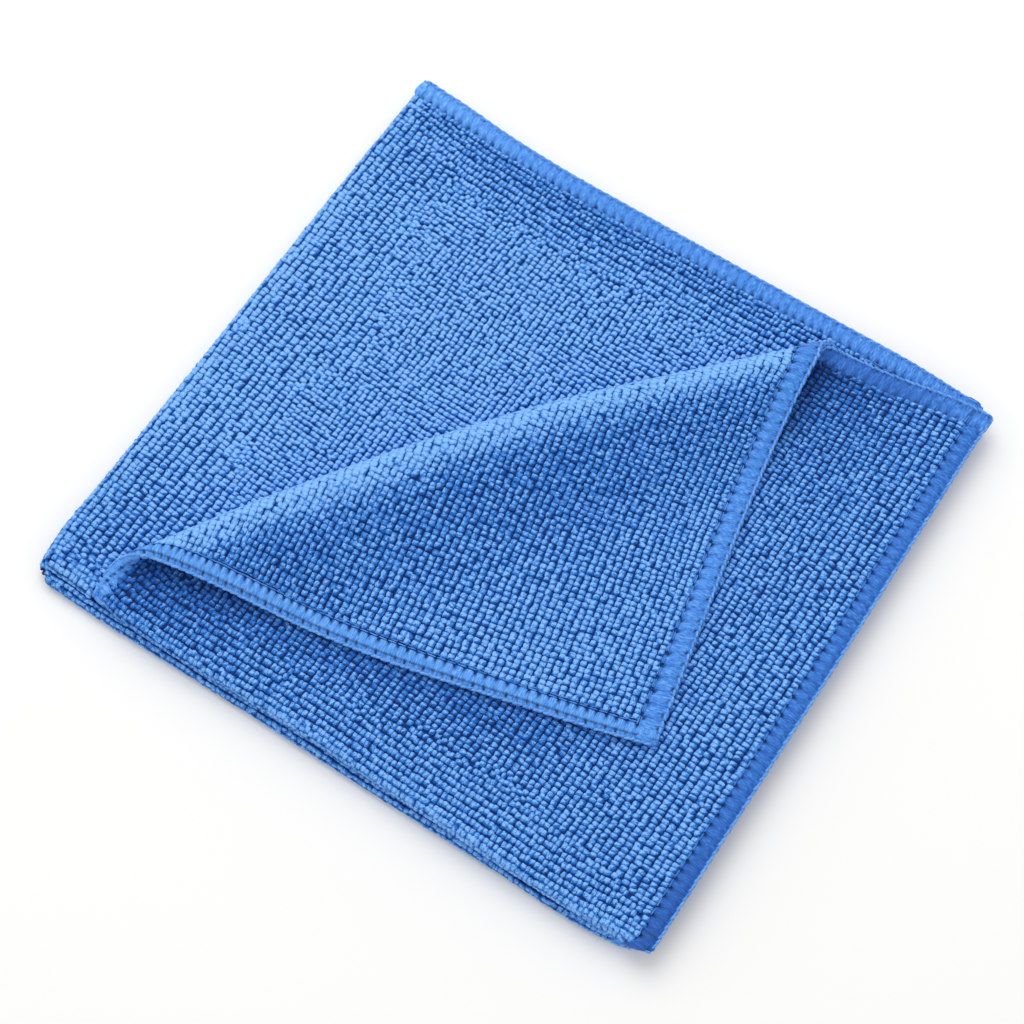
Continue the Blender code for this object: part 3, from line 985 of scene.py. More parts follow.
@dataclass
class Pile:
    """All the looped pile that shows: on the upper two plies, the turned-back corner and the folds."""

    loop_segments: int = 8
    loop_rings: int = 4
    hem: float = 6.4 * MM
    uneven: float = 0.085
    first_seed: int = 11

    def loop_template(self) -> tuple[Array, Array]:
        """One loop: a steep dome, squarer than a ball, open where it goes into the ground."""
        deselect_all()
        bpy.ops.mesh.primitive_uv_sphere_add(
            segments=self.loop_segments, ring_count=self.loop_rings, radius=1.0
        )
        loop = bpy.context.object
        bpy.ops.object.mode_set(mode="EDIT")
        bpy.ops.mesh.select_all(action="SELECT")
        bpy.ops.mesh.bisect(plane_co=(0.0, 0.0, 0.0), plane_no=(0.0, 0.0, 1.0), clear_inner=True)
        bpy.ops.object.mode_set(mode="OBJECT")
        for vert in loop.data.vertices:
            diagonal = abs(math.sin(2.0 * math.atan2(vert.co.y, vert.co.x)))
            upper_ring = 0.2 < vert.co.z < 0.9
            wider = (1.0 + 0.21 * diagonal) * (1.25 if upper_ring else 1.0)
            vert.co.x *= wider
            vert.co.y *= wider
        return modelled_template(loop)

    def second_ply(self) -> list[PileField]:
        """The pile of the second ply: rows run with the left fold, the back hem and the front edge."""
        back, side, slit, quarter = SHEET.back / MM, SHEET.side / MM, SHEET.slit / MM, SHEET.quarter / MM

        def shown(s: Array, t: Array) -> Array:
            """As far in under the roll as can be seen."""
            _, turn, radius = SHEET.crease_place(np.maximum(s, 0.0), -t)
            return (turn * radius > -9.0 * MM) & ((t > SHEET.quarter * 0.4) | (s < SHEET.slit - 2.0 * MM))

        def by_hem(s: Array, t: Array) -> Array:
            """Whether a point is among the rows along the back hem."""
            depth = 8.2 * MM + np.clip((s - 5.0 * MM) * 0.32, 0.0, 11.0 * MM)
            return (SHEET.back - t < self.hem + np.minimum(depth, (s - 1.5 * MM) * 1.1)) & (s > 2.5 * MM)

        def by_left_fold(s: Array, t: Array) -> Array:
            """Whether a point is among the rows along the left fold."""
            ends = 34.0 * MM + 5.0 * MM * np.sin(t / (14.0 * MM)) + 2.5 * MM * np.sin(t / (5.1 * MM))
            return (s < ends) & (t > SHEET.quarter)

        def round_corner(s: Array, t: Array) -> Array:
            """Whether a point is on the upper side of the left fold's round front corner."""
            return (s < SHEET.quarter) & (t < 3 * MM) & ((np.minimum(s, t) > 0.0) | (t > SHEET.quarter))

        def worn_fold(s: Array, t: Array) -> Array:
            """The fuzzy ribs over the left fold."""
            return 0.7 * (1.0 - eased((s - 1.0 * MM) / (7.5 * MM)))

        def along_fold(s: Array, t: Array) -> Array:
            """Deeper at both ends of the left fold, palest in the middle."""
            from_front = 0.19 * eased((t - 18 * MM) / (45 * MM))
            to_back = 0.17 * eased((t - SHEET.back + 50 * MM) / (35 * MM))
            return from_front - 0.05 - to_back

        def worn_edge(s: Array, t: Array) -> Array:
            """The fuzzy rows over the front edge."""
            return 0.7 * (1.0 - eased((t + 1.0 * MM) / (5.0 * MM)))

        fold_lines = np.array([-1.7, -0.8, 0.1, 1.0, 2.5, 4.7])
        return [
            PileField(
                1,
                spaced(4.2, side - 7.0, 1.55),
                spaced(back - 45.0, back - 7.4, 1.9, (2.0, 2.2, 2.25, 2.25, 2.2, 2.0, 1.75, 1.65)),
                lambda s, t: shown(s, t) & by_hem(s, t),
                Rows.ALONG_S,
                (-0.22, 0.22),
                tone=lambda s, t: 0.15 * eased((SHEET.back - self.hem - t) / (16 * MM)) - 0.12,
            ),
            PileField(
                1,
                spaced(quarter + 1.0, slit - 2.2, 1.7),
                np.array([0.2, 1.1, 2.6, 4.6]) * MM,
                lambda s, t: t < 1.6 * MM + s * 0.4,
                Rows.ALONG_S,
                (0.0, 0.0),
                worn_edge,
                tucked=True,
                height=0.95 * MM,
                pressed=-0.1,
            ),
            PileField(
                1,
                np.concatenate((fold_lines, spaced(7.0, 44.0, 2.4) / MM)) * MM,
                spaced(0.5, back - 7.4, 1.60),
                lambda s, t: (shown(s, t) & ~by_hem(s, t) & by_left_fold(s, t)) | round_corner(s, t),
                Rows.ALONG_T,
                (-0.22, 0.30),
                worn_fold,
                height=0.90 * MM,
                base=0.45 * MM,
                pressed=0.05,
                tone=along_fold,
            ),
            PileField(
                1,
                spaced(20.0, side - 7.0, 1.92),
                spaced(0.9, back - 7.4, 1.68),
                lambda s, t: shown(s, t) & ~by_hem(s, t) & ~by_left_fold(s, t),
                Rows.PATCHES,
                (-0.22, 0.26),
                tone=0.11,
            ),
        ]

    def top_ply(self) -> list[PileField]:
        """The pile of the top ply: rows run with the front fold, and with the right hem away from it."""
        top, side, slit = SHEET.top / MM, SHEET.side / MM, SHEET.slit / MM

        def shown(s: Array, t: Array) -> Array:
            """As far in under the turned-back corner as can be seen."""
            _, turn, _ = SHEET.crease_place(s, t)
            return turn < 1.3

        def by_fold(s: Array, t: Array) -> Array:
            """Whether a point is among the rows along the front fold."""
            ends = 13.5 * MM + 3.0 * MM * np.sin(s / (17.0 * MM)) + 1.2 * MM * np.sin(s / (4.3 * MM))
            depth = np.minimum(ends, (SHEET.side - self.hem - s) * 1.1 + 2.0 * MM)
            return -t - SHEET.quarter < np.minimum(depth, (s - SHEET.slit) * 1.2 + 1.0 * MM)

        def worn_fold(s: Array, t: Array) -> Array:
            """The fuzzy rows over the front fold."""
            return 0.55 * eased((t + 3.6 * MM) / (2.8 * MM))

        # Painted shade under the roll, strongest towards its back end.
        shade_along_crease = Curve(((0.0, 0.5), (0.3, 0.9), (0.7, 1.05), (1.0, 2.0)))

        def painted_shade_near_roll(s: Array, t: Array) -> Array:
            """Painted shade: how much darker the colour is painted close under the roll and beside the
            turned-back corner, where their shadows fall.
            """
            along, turn, radius = SHEET.crease_place(s, t)
            from_roll = np.maximum(-turn * radius, 0.0)
            from_edge = np.abs(0.69 * (1.05 * from_roll - along) + 7 * MM)
            shade_under_roll = shade_along_crease.at(along / SHEET.crease_length) * np.exp(-from_roll / (14 * MM))
            shade_beside_edge = np.exp(-from_edge / (8 * MM)) * (1.0 - eased((from_roll - 82 * MM) / (22 * MM)))
            return -0.01 - 0.40 * shade_under_roll - 0.24 * shade_beside_edge

        flat_lines = spaced(-42.0, -2.3, 1.8, (1.9, 2.05, 2.15, 2.15, 2.2, 2.15, 2.1))
        fold_lines = np.array([-1.1, -0.2, 0.7, 1.5])
        return [
            PileField(
                -1,
                spaced(slit + 0.8, side - 6.0, 1.46),
                np.concatenate((flat_lines / MM, fold_lines)) * MM,
                lambda s, t: shown(s, t) & by_fold(s, t),
                Rows.ALONG_S,
                (-0.20, -0.22),
                worn_fold,
                tone=painted_shade_near_roll,
            ),
            PileField(
                -1,
                spaced(slit + 1.0, side - 6.3, 2.0, (2.1, 2.2, 2.3, 2.3, 2.35, 2.3, 2.25, 2.2)),
                spaced(-top + 7.2, -2.0, 1.58),
                lambda s, t: shown(s, t) & ~by_fold(s, t),
                Rows.ALONG_T,
                (-0.22, -0.30),
                tone=painted_shade_near_roll,
            ),
        ]

    def turned_corner(self) -> list[PileField]:
        """The pile of the turned-back corner: rows run with its back hem and are worn smooth on the roll."""
        top, side, slit, quarter = SHEET.top / MM, SHEET.side / MM, SHEET.slit / MM, SHEET.quarter / MM

        def shown(s: Array, t: Array) -> Array:
            """All of it, from the underside of the roll on."""
            _, turn, _ = SHEET.crease_place(s, t)
            return turn > 0.3

        def on_roll(s: Array, t: Array) -> Array:
            """How much the loops are pressed flat, most on the roll's crown."""
            _, turn, radius = SHEET.crease_place(s, t)
            return 1.0 - eased((turn - 2.0) * radius / (15.0 * MM))

        # Painted light: a highlight on the roll's crown and shade on its far side, as tones by the distance past
        # the crown.
        tones = Curve(((-8, 0.02), (0, 0.2), (5, 0.08), (12, -0.13), (22, -0.15), (45, 0.0), (100, 0.03)))

        def painted_roll_light(s: Array, t: Array) -> Array:
            """A painted highlight on the roll's crown, where the loops are also pressed, and painted shade just
            past it.
            """
            _, turn, radius = SHEET.crease_place(s, t)
            return tones.at((turn - 2.0) * radius / MM)

        return [
            PileField(
                1,
                spaced(slit + 4.9, side - 8.0, 1.34),
                spaced(-top + 8.0, -quarter, 2.15),
                shown,
                Rows.ALONG_S,
                (0.18, 0.20),
                on_roll,
                tone=painted_roll_light,
            )
        ]

    def lower_fold(self) -> list[PileField]:
        """The pile of the lower front fold, which shows as a narrow band under the upper one."""
        side = SHEET.side / MM
        return [
            PileField(
                -1,
                spaced(-side + 4.0, -3.0, 1.72),
                np.array([-0.95, -0.05, 0.85, 1.75]) * MM,
                lambda s, t: s < 0.0,
                Rows.ALONG_S,
                worn=lambda s, t: np.full_like(s, 0.6),
                height=0.80 * MM,
                pressed=0.0,
                tone=-0.10,
            )
        ]

    def build(self) -> list[bpy.types.Object]:
        """Builds each area of pile as one piece."""
        template = self.loop_template()
        material = LoopedPile("microfibre_looped_pile").material()
        areas = {
            "pile_second_ply": self.second_ply(),
            "pile_top_ply": self.top_ply(),
            "pile_turned_corner": self.turned_corner(),
            "pile_lower_fold": self.lower_fold(),
        }
        pieces = []
        for seed, (name, fields) in enumerate(areas.items()):
            rng = np.random.default_rng(seed + self.first_seed)
            rows, area = np.zeros((0, 4)), np.zeros(0, int)
            for number, field in enumerate(fields):
                new = field.crossings(rows)
                rows = np.concatenate((rows, new))
                area = np.concatenate((area, np.full(len(new), number)))
            if len(fields) > 1:
                rows, area = filled(rows, area, fields)
                rows = settled(rows, area)
            made = [field.loops(rng, rows[area == number]) for number, field in enumerate(fields)]
            centres, axes, tones, lit_side_highlight = (np.concatenate(part) for part in zip(*made))
            piece = joined_copies(name, template, centres, axes, tones, lit_side_highlight, self.uneven)
            piece.data.materials.append(material)
            LOG.info("%s: %d loops, %d triangles", name, len(centres), len(piece.data.polygons))
            pieces.append(piece)
        return pieces


@dataclass
class Ground:
    """The cloth's body under its pile: one closed sheet on the solid's folds."""

    thickness: float = 1.5 * MM
    hem_thickness: float = 1.2 * MM
    cell: float = 2.4 * MM
    lower_cell: float = 6.0 * MM
    hem: float = 6.0 * MM
    corner: float = 4.5 * MM
    fold_cells: int = 8
    tiny: float = 1e-7

    def lines(self, stops: list[float], cell: float) -> list[float]:
        """Grid lines through these stops, no more than a cell apart."""
        lines = [stops[0]]
        for start, end in zip(stops, stops[1:]):
            count = max(1, math.ceil((end - start) / cell - 1e-6))
            lines += [start + (end - start) * k / count for k in range(1, count + 1)]
        return lines

    def rounded(self, s: Array, t: Array) -> tuple[Array, Array]:
        """Flat s and t with the sheet's own corners drawn in to a round, as its hem draws them."""
        for edge_s, edge_t, way_s, way_t in (
            (SHEET.side, -SHEET.top, -1, 1),
            (SHEET.side, SHEET.back, -1, -1),
            (-SHEET.side, SHEET.back, 1, -1),
            (-SHEET.side, -SHEET.top, 1, 1),
            (SHEET.slit, -SHEET.top, 1, 1),
        ):
            short_s = self.corner - (s - edge_s) * way_s
            short_t = self.corner - (t - edge_t) * way_t
            reach = np.hypot(short_s, short_t)
            least, most = np.minimum(short_s, short_t), np.maximum(short_s, short_t)
            inside = (least > 0) & (most <= self.corner + self.tiny)
            held = np.where(inside & (reach > self.corner), 1.0 - self.corner / np.maximum(reach, 1e-9), 0.0)
            s = s + way_s * short_s * held
            t = t + way_t * short_t * held
        return s, t

    def build(self, material: bpy.types.Material) -> bpy.types.Object:
        """Cuts the flat sheet, folds it and gives it its thickness.

        Args:
            material: the ground's material.

        Returns:
            The sheet, closed all round.
        """
        q, slit = SHEET.quarter, SHEET.slit
        fold = [q * (2 * k / self.fold_cells - 1) for k in range(1, self.fold_cells)]
        columns = self.lines([-SHEET.side, -SHEET.side + self.hem, -q], self.lower_cell) + fold
        columns += self.lines([q, slit, slit + self.hem, SHEET.side - self.hem, SHEET.side], self.cell)
        rows = self.lines([-SHEET.top, -SHEET.top + self.hem, -q], self.cell) + fold
        rows += self.lines([q, SHEET.back - self.hem, SHEET.back], self.cell)
        columns_at, rows_at = np.array(columns), np.array(rows)
        s, t = np.meshgrid(columns_at, rows_at, indexing="ij")
        mid_s, mid_t = (columns_at[1:] + columns_at[:-1]) / 2, (rows_at[1:] + rows_at[:-1]) / 2
        cell_s, cell_t = np.meshgrid(mid_s, mid_t, indexing="ij")
        beside_slit = (cell_s > -q) & (cell_s < slit) & (cell_t < 0.0)
        under_corner = (cell_s > -q) & (cell_s < 0.0) & (cell_t < q)
        present = ~(beside_slit | under_corner)
        tucked_side = (cell_s < slit) & (cell_s > -q)
        sheet = bmesh.new()
        hem_of = {}
        made: dict[tuple[int, int, bool], bmesh.types.BMVert] = {}
        flat = SHEET.place(*self.rounded(s, t))
        tucked = SHEET.place(s, t, True)

        def corner(i: int, j: int, left: bool) -> bmesh.types.BMVert:
            """The sheet's point at a crossing of grid lines, which the slit doubles."""
            in_front = rows_at[j] < q - self.tiny
            on_slit = abs(columns_at[i] - slit) < self.tiny
            before_slit = q - self.tiny < columns_at[i] < slit - self.tiny
            double = left and in_front and (on_slit or before_slit)
            key = (i, j, bool(double))
            if key not in made:
                vert = sheet.verts.new(tucked[i, j] if double else flat[i, j])
                from_slit = s[i, j] - slit if in_front and not left and s[i, j] > 0 else 1.0
                edge = min(SHEET.side - abs(s[i, j]), SHEET.back - t[i, j], SHEET.top + t[i, j], from_slit)
                hem_of[vert] = 1.0 - float(eased((edge - self.hem) / (1.0 * MM)))
                made[key] = vert
            return made[key]

        for i, j in zip(*np.nonzero(present)):
            left = bool(tucked_side[i, j])
            around = ((i, j), (i + 1, j), (i + 1, j + 1), (i, j + 1))
            sheet.faces.new([corner(column, row, left) for column, row in around])
        bmesh.ops.recalc_face_normals(sheet, faces=sheet.faces)
        sheet.verts.index_update()
        shares = {vert.index: share for vert, share in hem_of.items()}
        mesh = bpy.data.meshes.new("cloth_ground")
        sheet.to_mesh(mesh)
        sheet.free()
        ground = linked("cloth_ground", mesh)
        group = ground.vertex_groups.new(name="knit")
        for index, share in shares.items():
            group.add([index], 1.0 - share, "REPLACE")
        solid = ground.modifiers.new("thickness", "SOLIDIFY")
        solid.thickness = self.thickness
        solid.offset = 0.0
        solid.use_even_offset = True
        solid.vertex_group = group.name
        solid.thickness_vertex_group = self.hem_thickness / self.thickness
        deselect_all()
        bpy.context.view_layer.objects.active = ground
        ground.select_set(True)
        bpy.ops.object.modifier_apply(modifier=solid.name)
        ground.data.shade_smooth()
        ground.data.materials.append(material)
        LOG.info("cloth_ground: %d faces", len(ground.data.polygons))
        return ground


@dataclass
class Hem:
    """One overlocked edge: a satin band over both faces, a chain of loops on its rim and a needle line.

    Each swell, and the stretch of painted shade, is a place along the edge, a run and an amount; where that
    amount is below zero the stretch is painted lighter, as painted light. Each groove is a place along the edge,
    dented and painted dark as shade. A rod is half of its length, as a share of a stitch, and half of its width
    and height.
    """

    name: str
    start: tuple[float, float]
    end: tuple[float, float]
    inward: tuple[float, float]
    face: int
    seed: int
    width: float = 6.0 * MM
    stitch: float = 3.0 * MM
    rim: float = 0.45 * MM
    lobe: float = 0.25 * MM
    notch: float = 0.4 * MM
    bulb: float = 2.2 * MM
    past: tuple[float, float] = (0.0, 0.0)
    swells: tuple[tuple[float, float, float], ...] = ()
    roll_out: float = 0.0
    other_face_from: float | None = None
    hole: float = 0.34 * MM
    rim_holes: float = 0.5
    tone: float = 0.0
    painted_shade_stretch: tuple[float, float, float] = (0.0, 1.0, 0.0)
    grooves: tuple[float, ...] = ()
    ring: float = 0.42 * MM
    rod: tuple[float, float, float] = (0.31, 0.40 * MM, 0.46 * MM)
    needle_rod: tuple[float, float, float] = (0.44, 0.22 * MM, 0.24 * MM)

    def flat(self, along: Array, inside: Array) -> tuple[Array, Array]:
        """Flat s and t of points at a distance along the edge and a distance in from it."""
        share = along / self.length()
        s = self.start[0] + (self.end[0] - self.start[0]) * share + self.inward[0] * inside
        t = self.start[1] + (self.end[1] - self.start[1]) * share + self.inward[1] * inside
        return s, t

    def length(self) -> float:
        """The edge's length."""
        return math.hypot(self.end[0] - self.start[0], self.end[1] - self.start[1])

    def frames(self, along: Array, inside: Array) -> tuple[Array, Array, Array, Array]:
        """Points near the edge and the directions there.

        Args:
            along: distance along the edge.
            inside: distance in from the edge, below zero outside it.

        Returns:
            The points, the unit directions along the edge and inward, and the unit normal.
        """
        length = self.length()
        held = np.clip(along, 0.3 * MM, length - 0.3 * MM)
        deep = np.maximum(inside, 0.2 * MM)
        place, _, _, normal = SHEET.frames(*self.flat(held, deep), self.face)
        ahead = unit(SHEET.place(*self.flat(held + STEP, deep)) - SHEET.place(*self.flat(held - STEP, deep)))
        within = SHEET.place(*self.flat(held, deep + STEP)) - SHEET.place(*self.flat(held, deep - STEP))
        within = unit(within - ahead * np.sum(within * ahead, axis=-1, keepdims=True))
        place = place + ahead * (along - held)[..., None] + within * (inside - deep)[..., None]
        return place, ahead, within, normal

    def profile(self) -> Array:
        """The band's section, from the needle line over the rim: distances in from the edge and heights."""
        upper = [(1.08, 0.40), (1.05, 0.76), (0.97, 1.06), (0.84, 1.30), (0.66, 1.42), (0.48, 1.38)]
        upper += [(0.32, 1.22)]
        rim = [(1.45, 1.10), (1.10, 0.98), (0.75, 0.86), (0.35, 0.76), (-0.05, 0.50), (-0.18, 0.0)]
        rim += [(-0.05, -0.5), (0.35, -0.76), (0.75, -0.84), (1.10, -0.92)]
        lower = [(0.32, -0.98), (0.5, -1.0), (0.7, -1.0), (0.88, -0.92), (1.0, -0.72), (1.05, -0.45)]
        inner, under = (
            [(share * self.width / MM, high) for share, high in part] for part in (upper, lower)
        )
        return np.array(inner + rim + under) * MM

    def swelling(self, u: Array) -> Array:
        """How much thicker the hem is at a distance along it, where it turns a fold or lies over another."""
        thicker = np.ones_like(u)
        for place, run, share in self.swells:
            thicker = thicker + share * bell(u, place, run)
        return thicker

    def other_side(self, u: Array) -> Array:
        """How much thicker the other face is, where it is the one that shows."""
        if self.other_face_from is None:
            return np.ones_like(u)
        return 1.0 + 0.42 * eased((u - self.other_face_from) / (12 * MM))

    def beats(self, u: Array, ahead: Array | float = 0.0) -> Array:
        """How many stitches lie before a place, which the machine spaces a little unevenly.

        Args:
            u: distance along the edge.
            ahead: how far past it the slant of the threads puts the place.

        Returns:
            A number of stitches for each place.
        """
        return (u + ahead) / self.stitch + 0.5 + 0.16 * np.sin(u / (2.3 * self.stitch) + self.seed)

    def pits(self, u: Array, inside: Array) -> Array:
        """How deep each point of the band lies in a needle hole or in a groove, from 0 to 1; there the band is
        dented and painted dark, partly the ground seen through and partly painted shade.

        Args:
            u: distance along the edge.
            inside: distance in from the edge.

        Returns:
            One value for each point.
        """
        stitches = self.beats(u, 0.35 * inside)
        between = np.abs(stitches % 1.0 - 0.5) * 2.0
        strength = 0.74 + 0.26 * np.sin(2.4 * np.round(stitches) + self.seed)
        hole = eased((between - 0.52) / 0.34) * strength
        outer = self.rim_holes * bell(inside - self.rim, 0.84 * MM, self.hole)
        inner = bell(inside, self.width, 0.75 * MM)
        pit = np.minimum(1.25 * hole * np.maximum(outer, inner), 1.0)
        # Painted shade in each groove, which is also dented.
        for place in self.grooves:
            pit = np.maximum(pit, 0.55 * bell(u, place, 0.6 * MM))
        return pit

    def band(self) -> bpy.types.Object:
        """The satin band, closed all round the edge."""
        rng = np.random.default_rng(self.seed)
        length = self.length()
        rings = max(8, int(length / self.ring))
        along = np.linspace(-self.past[0], length + self.past[1], rings)
        profile = self.profile()
        count = len(profile)
        inside = np.broadcast_to(profile[None, :, 0], (rings, count)).copy()
        height = np.broadcast_to(profile[None, :, 1], (rings, count)).copy()
        u = np.broadcast_to(along[:, None], (rings, count))
        puffed = np.clip((np.abs(height) - 0.4 * MM) / (0.5 * MM), 0.0, 1.0)
        lobes = np.sqrt(np.abs(np.cos(math.pi * self.beats(u))))
        share_in = np.clip(inside / self.width, 0.0, 1.0)
        inside += self.lobe * (lobes - 0.8) * (share_in**2 - 1.1 * (1.0 - share_in) ** 4)
        height += np.sign(height) * self.lobe * 0.8 * (lobes - 0.8) * puffed
        knots = np.linspace(0.0, length, max(3, int(length / (5 * MM))))
        swell = np.interp(along, knots, rng.normal(0.0, 0.05 * MM, len(knots)))
        height += np.sign(height) * (swell[:, None] + rng.normal(0.0, 0.012 * MM, (rings, count))) * puffed
        pit = self.pits(u, inside) * puffed
        height -= np.sign(height) * pit * self.notch
        end = np.minimum(u + self.past[0], length + self.past[1] - u) + 0.02 * MM
        bulb = (1.0 - np.clip(1.0 - end / self.bulb, 0.0, 1.0) ** 2.6) ** (1 / 2.6)
        middle = self.width * 0.5
        inside = middle + (inside - middle) * (0.35 + 0.65 * bulb)
        thicker = self.swelling(u)
        height *= bulb
        height *= thicker
        height *= np.where(height < 0.0, self.other_side(u), 1.0)
        inside -= self.roll_out * (thicker - 1.0) * (1.0 - share_in) ** 2
        place, _, _, normal = self.frames(u.ravel(), inside.ravel())
        points = place + normal * height.ravel()[:, None]
        points[:, 2] = np.maximum(points[:, 2], 0.0)
        run = np.concatenate(([0.0], np.cumsum(np.hypot(*np.diff(profile, axis=0).T))))
        uv = np.stack((u.ravel(), np.tile(run, rings)), axis=1)
        mesh = tube(self.name, points.reshape(rings, count, 3), uv)
        store(mesh, "pit", pit)
        # Painted shade: the band is painted darker in the valleys between its lobes, and over its stretch of
        # painted shade.
        edges = 0.3 + 0.7 * np.abs(2.0 * share_in - 1.0)
        deepest, reach, depth = self.painted_shade_stretch
        tone = self.tone + 0.3 * (lobes - 0.85) * edges * puffed
        store(mesh, "tone_and_painted_shade", tone - depth * bell(u, deepest, reach))
        mesh.shade_smooth()
        return linked(self.name, mesh)

    def rods(
        self, along: Array, inside: Array, size: tuple[float, float, float], lift: Array, spin: Array
    ) -> tuple[Array, Array]:
        """Threads laid along the edge, each a rounded rod.

        Args:
            along: each rod's distance along the edge.
            inside: each rod's distance in from the edge.
            size: half of a rod's length, as a share of a stitch, and half of its width and height.
            lift: how high the rods lie off the middle surface, below zero on the other face.
            spin: how far each rod is turned on the cloth.

        Returns:
            The rods' centres and axes.
        """
        place, ahead, within, normal = self.frames(along, inside)
        first, second = turned(ahead, within, spin)
        first, second = first * (self.stitch * size[0]), second * size[1]
        second = second * np.sign(np.einsum("nx,nx->n", np.cross(first, second), normal))[:, None]
        return place + normal * lift[:, None], np.stack((first, second, normal * size[2]), axis=1)

    def threads(self, template: tuple[Array, Array]) -> list[bpy.types.Object]:
        """The chain of loops along the rim, and the two threads that the needle lays beside the band."""
        rng = np.random.default_rng(self.seed + 50)
        links = np.arange(self.bulb, self.length() - self.bulb, self.stitch / 2)
        stitches = np.arange(self.stitch * 1.5, self.length() - self.bulb, self.stitch)
        faces = [(links, stitches, 1)]
        if self.other_face_from is not None:
            seen = self.other_face_from
            faces.append((links[links > seen], stitches[stitches > seen], -1))
        chains, needles = [], []
        for link, stitch, side in faces:
            out = self.rim + np.tile([-0.09, 0.06], len(link))[: len(link)] * MM
            thicker = self.swelling(link) * (1.0 if side > 0 else self.other_side(link))
            rolled = self.roll_out * (self.swelling(link) - 1.0)
            inside = out + rng.normal(0.0, 0.03, len(link)) * MM - rolled
            spin = 0.24 + rng.normal(0.0, 0.03, len(link))
            chains.append(self.rods(link, inside, self.rod, 0.78 * MM * side * thicker, spin))
            pair = np.repeat(stitch, 2)
            beside = np.tile([0.45 * MM, 0.95 * MM], len(stitch))
            inside = self.width + beside + rng.normal(0.0, 0.05, len(pair)) * MM
            spin = rng.normal(0.0, 0.04, len(pair))
            lift = np.full(len(pair), 1.0 * MM * side)
            needles.append(self.rods(pair, inside, self.needle_rod, lift, spin))
        pieces = []
        for name, laid, tone in (("chain", chains, 0.16), ("needle", needles, 0.04)):
            centres, axes = (np.concatenate(part) for part in zip(*laid))
            tones = rng.normal(tone, 0.05, len(centres))
            pieces.append(joined_copies(f"{self.name}_{name}", template, centres, axes, tones))
        return pieces


@dataclass
class Overlock:
    """Every overlocked edge of the cloth, in the order that the machine goes round it."""

    def loop_template(self) -> tuple[Array, Array]:
        """One thread of a stitch: a short rounded rod."""
        deselect_all()
        bpy.ops.mesh.primitive_uv_sphere_add(segments=6, ring_count=6, radius=1.0)
        rod = bpy.context.object
        bpy.ops.object.mode_set(mode="EDIT")
        bpy.ops.mesh.select_all(action="SELECT")
        bpy.ops.transform.rotate(value=math.pi / 2, orient_axis="Y", center_override=(0.0, 0.0, 0.0))
        bpy.ops.object.mode_set(mode="OBJECT")
        for vert in rod.data.vertices:
            blunt = max(math.hypot(vert.co.y, vert.co.z), 0.05) ** -0.45
            vert.co.y *= blunt
            vert.co.z *= blunt
        return modelled_template(rod)

    def hems(self) -> list[Hem]:
        """The edges, each from one end of the sheet's outline to the next."""
        q, slit, side, back, top = SHEET.quarter, SHEET.slit, SHEET.side, SHEET.back, SHEET.top
        return [
            Hem(
                "hem_right_upper",
                (side, -top),
                (side, back),
                (-1, 0),
                -1,
                21,
                width=5.0 * MM,
                stitch=3.1 * MM,
                rim=0.25 * MM,
                lobe=0.4 * MM,
                bulb=1.6 * MM,
                past=(-3.4 * MM, 0.6 * MM),
                swells=((top, 4.0 * MM, 0.3),),
                tone=-0.15,
                # painted shade, strongest where the edge turns the front fold
                painted_shade_stretch=(top, 40.0 * MM, 0.17),
                grooves=(top - 4.4 * MM,),
            ),
            Hem(
                "hem_back_middle",
                (side, back),
                (-side, back),
                (0, -1),
                1,
                22,
                width=6.1 * MM,
                lobe=0.5 * MM,
                past=(1.2 * MM, 1.2 * MM),
                swells=((side, 3.0 * MM, 0.5),),
                tone=-0.01,
                # painted light, strongest where the edge meets the left fold
                painted_shade_stretch=(side, 40.0 * MM, -0.1),
            ),
            Hem("hem_right_lower", (-side, back), (-side, -top), (1, 0), -1, 23),
            Hem("hem_back_bottom", (-side, -top), (-q, -top), (0, 1), -1, 24),
            Hem("hem_left_bottom", (-q, -top), (-q, -q), (-1, 0), -1, 25),
            Hem(
                "hem_turned_left",
                (slit, q * 0.8),
                (slit, -top),
                (1, 0),
                1,
                26,
                width=3.7 * MM,
                stitch=2.9 * MM,
                rim=0.1 * MM,
                lobe=0.3 * MM,
                bulb=1.6 * MM,
                past=(1.0 * MM, 0.0),
                swells=((5.0 * MM, 11.0 * MM, 0.75),),
                roll_out=1.1 * MM,
                hole=0.42 * MM,
                rim_holes=0.95,
                tone=0.08,
            ),
            Hem(
                "hem_turned_back",
                (slit, -top),
                (side, -top),
                (0, 1),
                1,
                27,
                width=6.2 * MM,
                stitch=3.1 * MM,
                lobe=0.4 * MM,
                past=(0.0, 0.3 * MM),
                swells=((side - slit - 5.6 * MM, 0.7 * MM, -0.3), (side - slit - 2.4 * MM, 2.4 * MM, 0.4)),
                other_face_from=112.0 * MM,
                hole=0.42 * MM,
                rim_holes=0.95,
                # painted shade where the edge lies close under the roll
                painted_shade_stretch=(146.0 * MM, 24.0 * MM, 0.22),
                grooves=(side - slit - 5.6 * MM,),
            ),
        ]

    def build(self, material: bpy.types.Material) -> list[bpy.types.Object]:
        """Builds each edge's band, chain and needle line."""
        template = self.loop_template()
        pieces = []
        for hem in self.hems():
            made = [hem.band()] + hem.threads(template)
            for piece in made:
                piece.data.materials.append(material)
            LOG.info("%s: %d faces", hem.name, sum(len(piece.data.polygons) for piece in made))
            pieces += made
        return pieces


def stand(thing: bpy.types.Object, azimuth: float, elevation: float, away: float, target: Vector) -> None:
    """Puts a lamp or camera at a distance from a place and turns it to face the place.

    Args:
        thing: the lamp or camera.
        azimuth: where it stands, in radians round +Z from -Y.
        elevation: how high it stands, in radians.
        away: its distance.
        target: the place.
    """
    level = math.cos(elevation)
    back = Vector((math.sin(azimuth) * level, -math.cos(azimuth) * level, math.sin(elevation)))
    thing.location = target + back * away
    thing.rotation_mode = "QUATERNION"
    thing.rotation_quaternion = (-back).to_track_quat("-Z", "Y")


